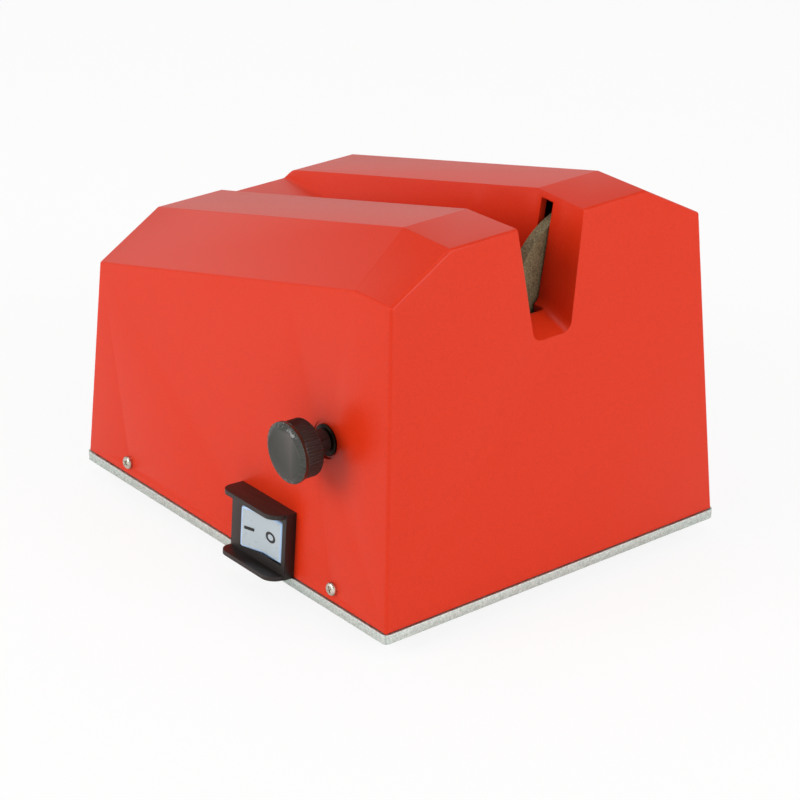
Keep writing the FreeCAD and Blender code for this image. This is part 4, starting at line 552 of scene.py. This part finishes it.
def from_axis(point):
    """A vertex's distance from the knob's axis, in millimetres."""
    return math.hypot(point.co.y / MM - KNOB_AXIS[0], point.co.z / MM - KNOB_AXIS[1])


knob = soften("adjust_knob", "knob_moulding", "knob", width=0, smooth=22)
knob.data.materials.append(knob_face_plastic)
knob_face = min(point.co.x for point in knob.data.vertices)
on_axis = (knob_face + 0.5 * MM, KNOB_AXIS[0] * MM, KNOB_AXIS[1] * MM)
choose(knob, "VERT", lambda point: point.co.x < knob_face + 0.45 * MM)
bpy.ops.transform.resize(value=(0, 1, 1), center_override=on_axis)
choose(knob, "VERT", lambda point: NECK[0] < from_axis(point) < NECK[1])
bpy.ops.transform.resize(value=(1, NECK_SCALE, NECK_SCALE), center_override=on_axis)
bpy.ops.mesh.select_all(action="SELECT")
bpy.ops.mesh.dissolve_limited(angle_limit=math.radians(FLAT), delimit={"NORMAL"})
object_mode()
polished = [face for face in knob.data.polygons if face.center.x < knob_face + POLISHED * MM]
for face in polished:
    face.material_index = 1
print(len(polished), "of the knob's faces are polished")

bush = soften("spindle_bush", "bush_turning", "housing", width=0)
choose(bush, "VERT", lambda point: from_axis(point) > BUSH_BODY)
bpy.ops.transform.resize(value=(1, FLANGE_SCALE, FLANGE_SCALE), center_override=on_axis)
object_mode()

# %% [markdown]
# The side screws are pan-head machine screws with a cross recess, nickel plated. The head starts as a
# cylinder whose top rim is bevelled into a dome, and a cross made from two thin wedges cuts the recess
# with a Boolean modifier. The screw is modelled once, standing on the origin, and copied to each seat.

# %% One cross-recess screw
DOME = 0.58                 # the rounding of the head, as a share of its height
TIP_TAPER = 0.25            # the bevel of the shank's tip, as a share of its radius
SLOT_WIDE, SLOT_REACH = 0.31, 0.57          # the cross, as shares of the head's radius
SLOT_DEEP = 0.65            # its depth, as a share of the head's height
ABOVE_HEAD = 0.2            # how far the cutter stands out of the head
WEDGE = 0.55                # the cutter's bottom, as a share of its top


def cross_cutter(width, reach, depth, top):
    """Two crossed bars that narrow downwards, for cutting a recess into a screw's head."""
    bars = []
    for turn in (0, 90):
        clear_selection()
        bpy.ops.mesh.primitive_cube_add(size=1, location=(0, 0, (top - depth / 2) * MM),
                                        rotation=(0, 0, math.radians(turn)))
        bar = bpy.context.object
        bar.scale = (2 * reach * MM, width * MM, depth * MM)
        bake_place()
        choose(bar, "FACE", lambda face: face.normal.z < -0.5)
        bpy.ops.transform.resize(value=(WEDGE, WEDGE, 1.0),
                                 center_override=(0, 0, (top - depth) * MM))
        object_mode()
        bars.append(bar)
    combine(bars[0], bars[1], "UNION")
    return bars[0]


def screw(shank, thread, radius, tall):
    """A pan-head screw: the seat at the origin, the head above it and the shank below."""
    clear_selection()
    bpy.ops.mesh.primitive_cylinder_add(vertices=40, radius=radius * MM, depth=tall * MM,
                                        location=(0, 0, tall / 2 * MM))
    head = bpy.context.object
    bake_place()
    top = (tall - 0.01) * MM
    choose(head, "EDGE", lambda edge: all(point.z > top for point in ends(head, edge)))
    bpy.ops.mesh.bevel(offset=DOME * tall * MM, segments=6, profile=0.5, affect="EDGES")
    choose(head, "FACE", lambda face: face.normal.z < -0.9)
    bpy.ops.mesh.inset(thickness=(radius - thread) * MM)
    bpy.ops.mesh.extrude_region_move(TRANSFORM_OT_translate={"value": (0, 0, -shank * MM)})
    bpy.ops.mesh.bevel(offset=TIP_TAPER * thread * MM, segments=1, affect="EDGES")
    object_mode()
    combine(head, cross_cutter(SLOT_WIDE * radius, SLOT_REACH * radius, SLOT_DEEP * tall,
                               tall + ABOVE_HEAD), "DIFFERENCE")
    paint(head, nickel)
    return head


def copies_of(source, places):
    """One object that holds a copy of the source's mesh at each place."""
    made = []
    for place in places:
        twin = bpy.data.objects.new(source.name, source.data.copy())
        scene.collection.objects.link(twin)
        twin.matrix_world = place
        made.append(twin)
    clear_selection()
    for twin in made:
        twin.select_set(True)
    bpy.context.view_layer.objects.active = made[0]
    bake_place()
    bpy.ops.object.join()
    bpy.data.objects.remove(source)
    return made[0]


# %% [markdown]
# The cover leans in by 3.5 degrees, so each side screw is tilted with it. The screws of the feet are
# larger and point up, each in its foot's recess. All were tightened by hand, so each recess of a head
# stands at its own angle.

# %% Side screws and foot screws
DRAFT = 3.5
LEAN = math.tan(math.radians(DRAFT))
WALL_FOOT = 86.75           # half the cover's width where it meets the plate
PLATE_TOP = 4.0
SIDE_UP = 5.95              # height of the side screws above the plate
SIDE_SCREWS = ((-69.1, 28), (72.1, 64))     # place along the side, and the recess's turn
FOOT_SEAT = -2.8            # height of the seats in the feet
FOOT_SCREWS = ((-70.5, -86.5, 10), (70.5, -86.5, 52), (-70.5, 86.5, 75), (70.5, 86.5, 33))


def wall_x(height):
    """How far out the cover's side is at a height above the plate."""
    return WALL_FOOT - height * LEAN


def seat(x, y, z, axis, tilt, turn):
    """A place in millimetres, tilted about an axis after a turn about its own."""
    move = Matrix.Translation(Vector((x, y, z)) * MM)
    lean = Matrix.Rotation(math.radians(tilt), 4, axis)
    return move @ lean @ Matrix.Rotation(math.radians(turn), 4, "Z")


side_places = []
for side in (-1, 1):
    for y, turn in SIDE_SCREWS:
        side_places.append(seat(side * wall_x(SIDE_UP), y, PLATE_TOP + SIDE_UP, "Y",
                                side * (90 - DRAFT), turn))
side_screws = copies_of(screw(shank=12.0, thread=1.5, radius=2.8, tall=1.9), side_places)
finish_piece(side_screws, "side_screws", "housing", ["cover_screws"])

foot_places = [seat(x, y, FOOT_SEAT, "X", 180, turn) for x, y, turn in FOOT_SCREWS]
foot_screws = copies_of(screw(shank=11.0, thread=2.0, radius=3.7, tall=2.6), foot_places)
finish_piece(foot_screws, "foot_screw_heads", "housing", ["foot_screws"])

# %% [markdown]
# The guard is a moulded frame with a wing above and below, so that nothing brushes the switch by
# accident. Each wing is a thin plate that stands out level and then rounds off towards the front. The
# frame is a cube with the switch's opening cut through it, and each wing a flat cube with two rounded
# corners: a tighter one at the rear tip and a wider one at the front.

# %% Switch guard
GUARD_ALONG = -26.3         # the guard's middle, along the cover
GUARD_LONG = 35.8
GUARD_TALL = 28.6
GUARD_FRONT = 5.0           # how far the frame stands out of the cover
WING_OUT = 11.2
WING_THICK = 1.9
WING_INSET = 0.6            # how far short of the frame's front end a wing stops
REAR_ROUND, FRONT_ROUND = 4.5, 6.1
OPENING = (26.1, 19.0)      # along the cover and up it
OPENING_AT = (-2.5, 0.8)    # its middle, from the guard's middle
CUT_THROUGH = 20            # the opening's cutter reaches this far in and out
guard_seat = seat(-wall_x(GUARD_TALL / 2), GUARD_ALONG, PLATE_TOP + GUARD_TALL / 2, "Y", DRAFT, 0)


def block(low, high):
    """A box between two corners in millimetres."""
    clear_selection()
    middle = [(a + b) / 2 * MM for a, b in zip(low, high)]
    bpy.ops.mesh.primitive_cube_add(size=1, location=middle)
    box = bpy.context.object
    box.scale = [(b - a) * MM for a, b in zip(low, high)]
    bake_place()
    return box


def round_corner(wing, along, offset, segments):
    """Rounds a wing's outer corner, at its rear when along is 1 and at its front when it is -1."""
    def rule(edge):
        a, b = ends(wing, edge)
        outer = max(a.x, b.x) < (0.1 - WING_OUT) * MM
        return outer and a.y * along > 0 and b.y * along > 0 and abs(a.z - b.z) > 1 * MM

    choose(wing, "EDGE", rule)
    bpy.ops.mesh.bevel(offset=offset * MM, segments=segments, affect="EDGES")
    object_mode()


half_long, half_tall = GUARD_LONG / 2, GUARD_TALL / 2
guard = block((-GUARD_FRONT, -half_long, -half_tall), (0, half_long, half_tall))
for low in (-half_tall, half_tall - WING_THICK):
    wing = block((-WING_OUT, -half_long + WING_INSET, low), (0, half_long, low + WING_THICK))
    round_corner(wing, 1, REAR_ROUND, 8)
    round_corner(wing, -1, FRONT_ROUND, 12)
    combine(guard, wing, "UNION")
opening_low, opening_high = [
    (end * CUT_THROUGH, OPENING_AT[0] + end * OPENING[0] / 2, OPENING_AT[1] + end * OPENING[1] / 2)
    for end in (-1, 1)]
combine(guard, block(opening_low, opening_high), "DIFFERENCE")
round_edges(guard, width=0.3, segments=3, limit=40)
paint(guard, guard_plastic)
guard.matrix_world = guard_seat
finish_piece(guard, "guard_moulding", "housing", ["switch_guard"])

# %% [markdown]
# The rocker is a shallow V: two flat faces that meet in the middle, so that one end always stands out.
# The solid already has that shape. A bisect keeps the part that shows, a bevel rounds its edges like a
# moulding's, and the two flats take the pale plastic while the rounded edges stay clear blue.

# %% Rocker
SWITCH_ALONG, SWITCH_UP = -28.8, 15.1       # the rocker's middle on the cover's side
PIVOT_DEEP = 2.4            # how far behind the cover's face the rocker turns
THROW = 18.0                # degrees from on to off
ROCKER_SHOWN = 2.9          # only what stands further out than this is kept
FLAT_AREA = 40              # square millimetres, more than any of the rounded edges' faces

half_throw = math.radians(THROW / 2)
centre_out = (GUARD_FRONT + PIVOT_DEEP) / math.cos(half_throw) - PIVOT_DEEP
switch_seat = seat(-wall_x(SWITCH_UP), SWITCH_ALONG, PLATE_TOP + SWITCH_UP, "Y", DRAFT, 0)
tip = (Matrix.Translation((PIVOT_DEEP * MM, 0, 0)) @ Matrix.Rotation(half_throw, 4, "Z")
       @ Matrix.Translation((-PIVOT_DEEP * MM, 0, 0)))

outward = (switch_seat.to_3x3() @ Vector((-1, 0, 0))).normalized()
cut_place = switch_seat @ Vector((-ROCKER_SHOWN * MM, 0, 0))
rocker = soften("rocker", "rocker_moulding", "switch_rocker", width=1.1,
                limit=33, segments=5, clamp=False, keep=(cut_place, outward))
paint(rocker, rocker_rim_plastic, rocker_face_plastic)
for face in rocker.data.polygons:
    if face.area > FLAT_AREA * MM * MM and face.normal.dot(outward) > 0.8:
        face.material_index = 1
print("the rocker shows", sum(face.material_index for face in rocker.data.polygons), "pale flats")

# %% [markdown]
# The marks are printed: a bar for on, and a ring for off. Both lie along the rocker, because the switch
# is mounted on its side. Each is a thin black piece that stands less than a tenth of a millimetre out
# of its face. The bar is a rounded box and the ring a torus that is pressed flat and stretched into an
# oval.

# %% Marks on the rocker
BAR = (0.16, 5.0, 1.35)     # thickness, length and width
BAR_ALONG = 7.0             # from the middle of the rocker to the bar's
RING_RADIUS, RING_LINE = 2.1, 0.62
RING_SHAPE = (0.13, 1.17, 0.84)             # pressed flat, longer along and lower up
RING_ALONG = 4.4


def on_face(end, along):
    """A place on the rocker's face: end is 1 for the on half and -1 for the off half, and along is
    how far it is from the middle."""
    out = centre_out + along * math.tan(half_throw)
    lie = Matrix.Translation(Vector((-out, end * along, 0)) * MM)
    return switch_seat @ tip @ lie @ Matrix.Rotation(end * half_throw, 4, "Z")


clear_selection()
bpy.ops.mesh.primitive_cube_add(size=1)
bar = bpy.context.object
bar.scale = Vector(BAR) * MM
bake_place()
choose(bar, "EDGE", lambda edge: abs(ends(bar, edge)[0].x - ends(bar, edge)[1].x) > 0.1 * MM)
bpy.ops.mesh.bevel(offset=0.2 * MM, segments=3, affect="EDGES")
object_mode()
paint(bar, mark_ink)
bar.matrix_world = on_face(1, BAR_ALONG)
finish_piece(bar, "on_mark", "switch_rocker")

clear_selection()
bpy.ops.mesh.primitive_torus_add(major_radius=RING_RADIUS * MM, minor_radius=RING_LINE * MM,
                                 major_segments=40, minor_segments=10,
                                 rotation=(0, math.radians(90), 0))
ring = bpy.context.object
bake_place()
ring.scale = RING_SHAPE
bake_place()
paint(ring, mark_ink)
ring.matrix_world = on_face(-1, RING_ALONG)
finish_piece(ring, "off_mark", "switch_rocker")

# %% [markdown]
# The camera stands where the photograph was taken: in front of the machine's left corner, 39 degrees
# round and 25 degrees up, with a long lens. Its place was solved from the object's own edges. The tiny
# roll is the photographer's.

# %% Camera
AROUND = math.radians(39.013)
ABOVE = math.radians(25.085)
ROLL = math.radians(0.449)
DISTANCE = 1.22519
LENS = 133.469
AIM_UP = 0.080591           # the camera looks at this height on the object's axis
SLIDE_RIGHT, SLIDE_DOWN = 0.001722, 0.036098        # and is then slid across its view
right_level = Vector((math.cos(AROUND), -math.sin(AROUND), 0))
ahead = Vector((math.sin(AROUND) * math.cos(ABOVE), math.cos(AROUND) * math.cos(ABOVE),
                -math.sin(ABOVE)))
up_level = right_level.cross(ahead)
camera_right = right_level * math.cos(ROLL) + up_level * math.sin(ROLL)
camera_up = -right_level * math.sin(ROLL) + up_level * math.cos(ROLL)
aim = Vector((0, 0, AIM_UP))
eye = aim - ahead * DISTANCE + camera_right * SLIDE_RIGHT - camera_up * SLIDE_DOWN

clear_selection()
bpy.ops.object.camera_add()
camera = bpy.context.object
camera.matrix_world = Matrix((
    (camera_right.x, camera_up.x, -ahead.x, eye.x),
    (camera_right.y, camera_up.y, -ahead.y, eye.y),
    (camera_right.z, camera_up.z, -ahead.z, eye.z),
    (0, 0, 0, 1)))
camera.data.lens = LENS
camera.data.sensor_width = 36
scene.camera = camera
print("the camera is", round(DISTANCE, 2), "m away")

# %% [markdown]
# The photograph was taken on a white sweep. To the camera the floor and the world are plain white, and
# as light they are only softly bright, so the object keeps its own colours. The floor keeps a little of
# the object's shadow, so that it stands on something.

# %% Floor and world
FEET_DOWN = 6.0             # the feet reach this far below the plate's underside
GLOW_SHARE = 0.86           # how much of the floor that the camera sees is plain white

clear_selection()
bpy.ops.mesh.primitive_plane_add(size=12, location=(0, 0, -FEET_DOWN * MM))
floor = bpy.context.object
floor.name = "studio_floor"
floor_white, floor_surface, _ = begin("studio_floor_white", "#F4F4F2", 0.6)
seen = add_node(floor_white, "ShaderNodeLightPath")
glow = add_node(floor_white, "ShaderNodeEmission", {"Color": (1, 1, 1, 1), "Strength": 1.0})
share = add_node(floor_white, "ShaderNodeMath", {
    0: seen.outputs["Is Camera Ray"], 1: GLOW_SHARE}, operation="MULTIPLY")
blend = add_node(floor_white, "ShaderNodeMixShader", {"Fac": share.outputs["Value"]})
floor_white.node_tree.links.new(floor_surface.outputs["BSDF"], blend.inputs[1])
floor_white.node_tree.links.new(glow.outputs["Emission"], blend.inputs[2])
floor_white.node_tree.links.new(
    blend.outputs["Shader"], floor_white.node_tree.nodes["Material Output"].inputs["Surface"])
floor.data.materials.append(floor_white)

world = bpy.data.worlds.new("studio")
scene.world = world
world.use_nodes = True
sky = world.node_tree.nodes["Background"]
path = add_node(world, "ShaderNodeLightPath")
look = add_node(world, "ShaderNodeTexCoord")
height = add_node(world, "ShaderNodeSeparateXYZ", {"Vector": look.outputs["Generated"]})
ceiling = add_node(world, "ShaderNodeMapRange", {
    "Value": height.outputs["Z"], "From Min": 0.15, "From Max": 0.75, "To Min": 0.85, "To Max": 0.34})
bright = add_node(world, "ShaderNodeMix", {
    "Factor": path.outputs["Is Camera Ray"], "A": ceiling.outputs["Result"], "B": 1.0})
sky.inputs["Color"].default_value = (1, 1, 1, 1)
world.node_tree.links.new(bright.outputs["Result"], sky.inputs["Strength"])

# %% [markdown]
# Three large soft boxes light the object: one to its left and a little behind, which makes the knob's
# soft shadow, one in front, and a weak one above for the roof. Large lamps make soft shadows, because
# each point sees most of the lamp.

# %% Lamps
LIT_POINT = Vector((0, 0, 0.07))            # the middle of the machine


def soft_box(name, place, size, power):
    """A square lamp that faces the machine, with its side in metres and its power in watts."""
    clear_selection()
    bpy.ops.object.light_add(type="AREA", location=place)
    lamp = bpy.context.object
    lamp.name = name
    lamp.data.shape = "SQUARE"
    lamp.data.size = size
    lamp.data.energy = power
    lamp.rotation_euler = (LIT_POINT - Vector(place)).to_track_quat("-Z", "Y").to_euler()


soft_box("left_soft_box", (-1.5, 0.35, 0.75), 0.9, 15)
soft_box("front_soft_box", (0.45, -1.6, 0.7), 1.0, 15)
soft_box("top_soft_box", (0.1, 0.2, 1.6), 1.2, 6)

# %% [markdown]
# The view transform is set to Standard, so that a colour shows as it was written.

# %% View transform
scene.view_settings.view_transform = "Standard"
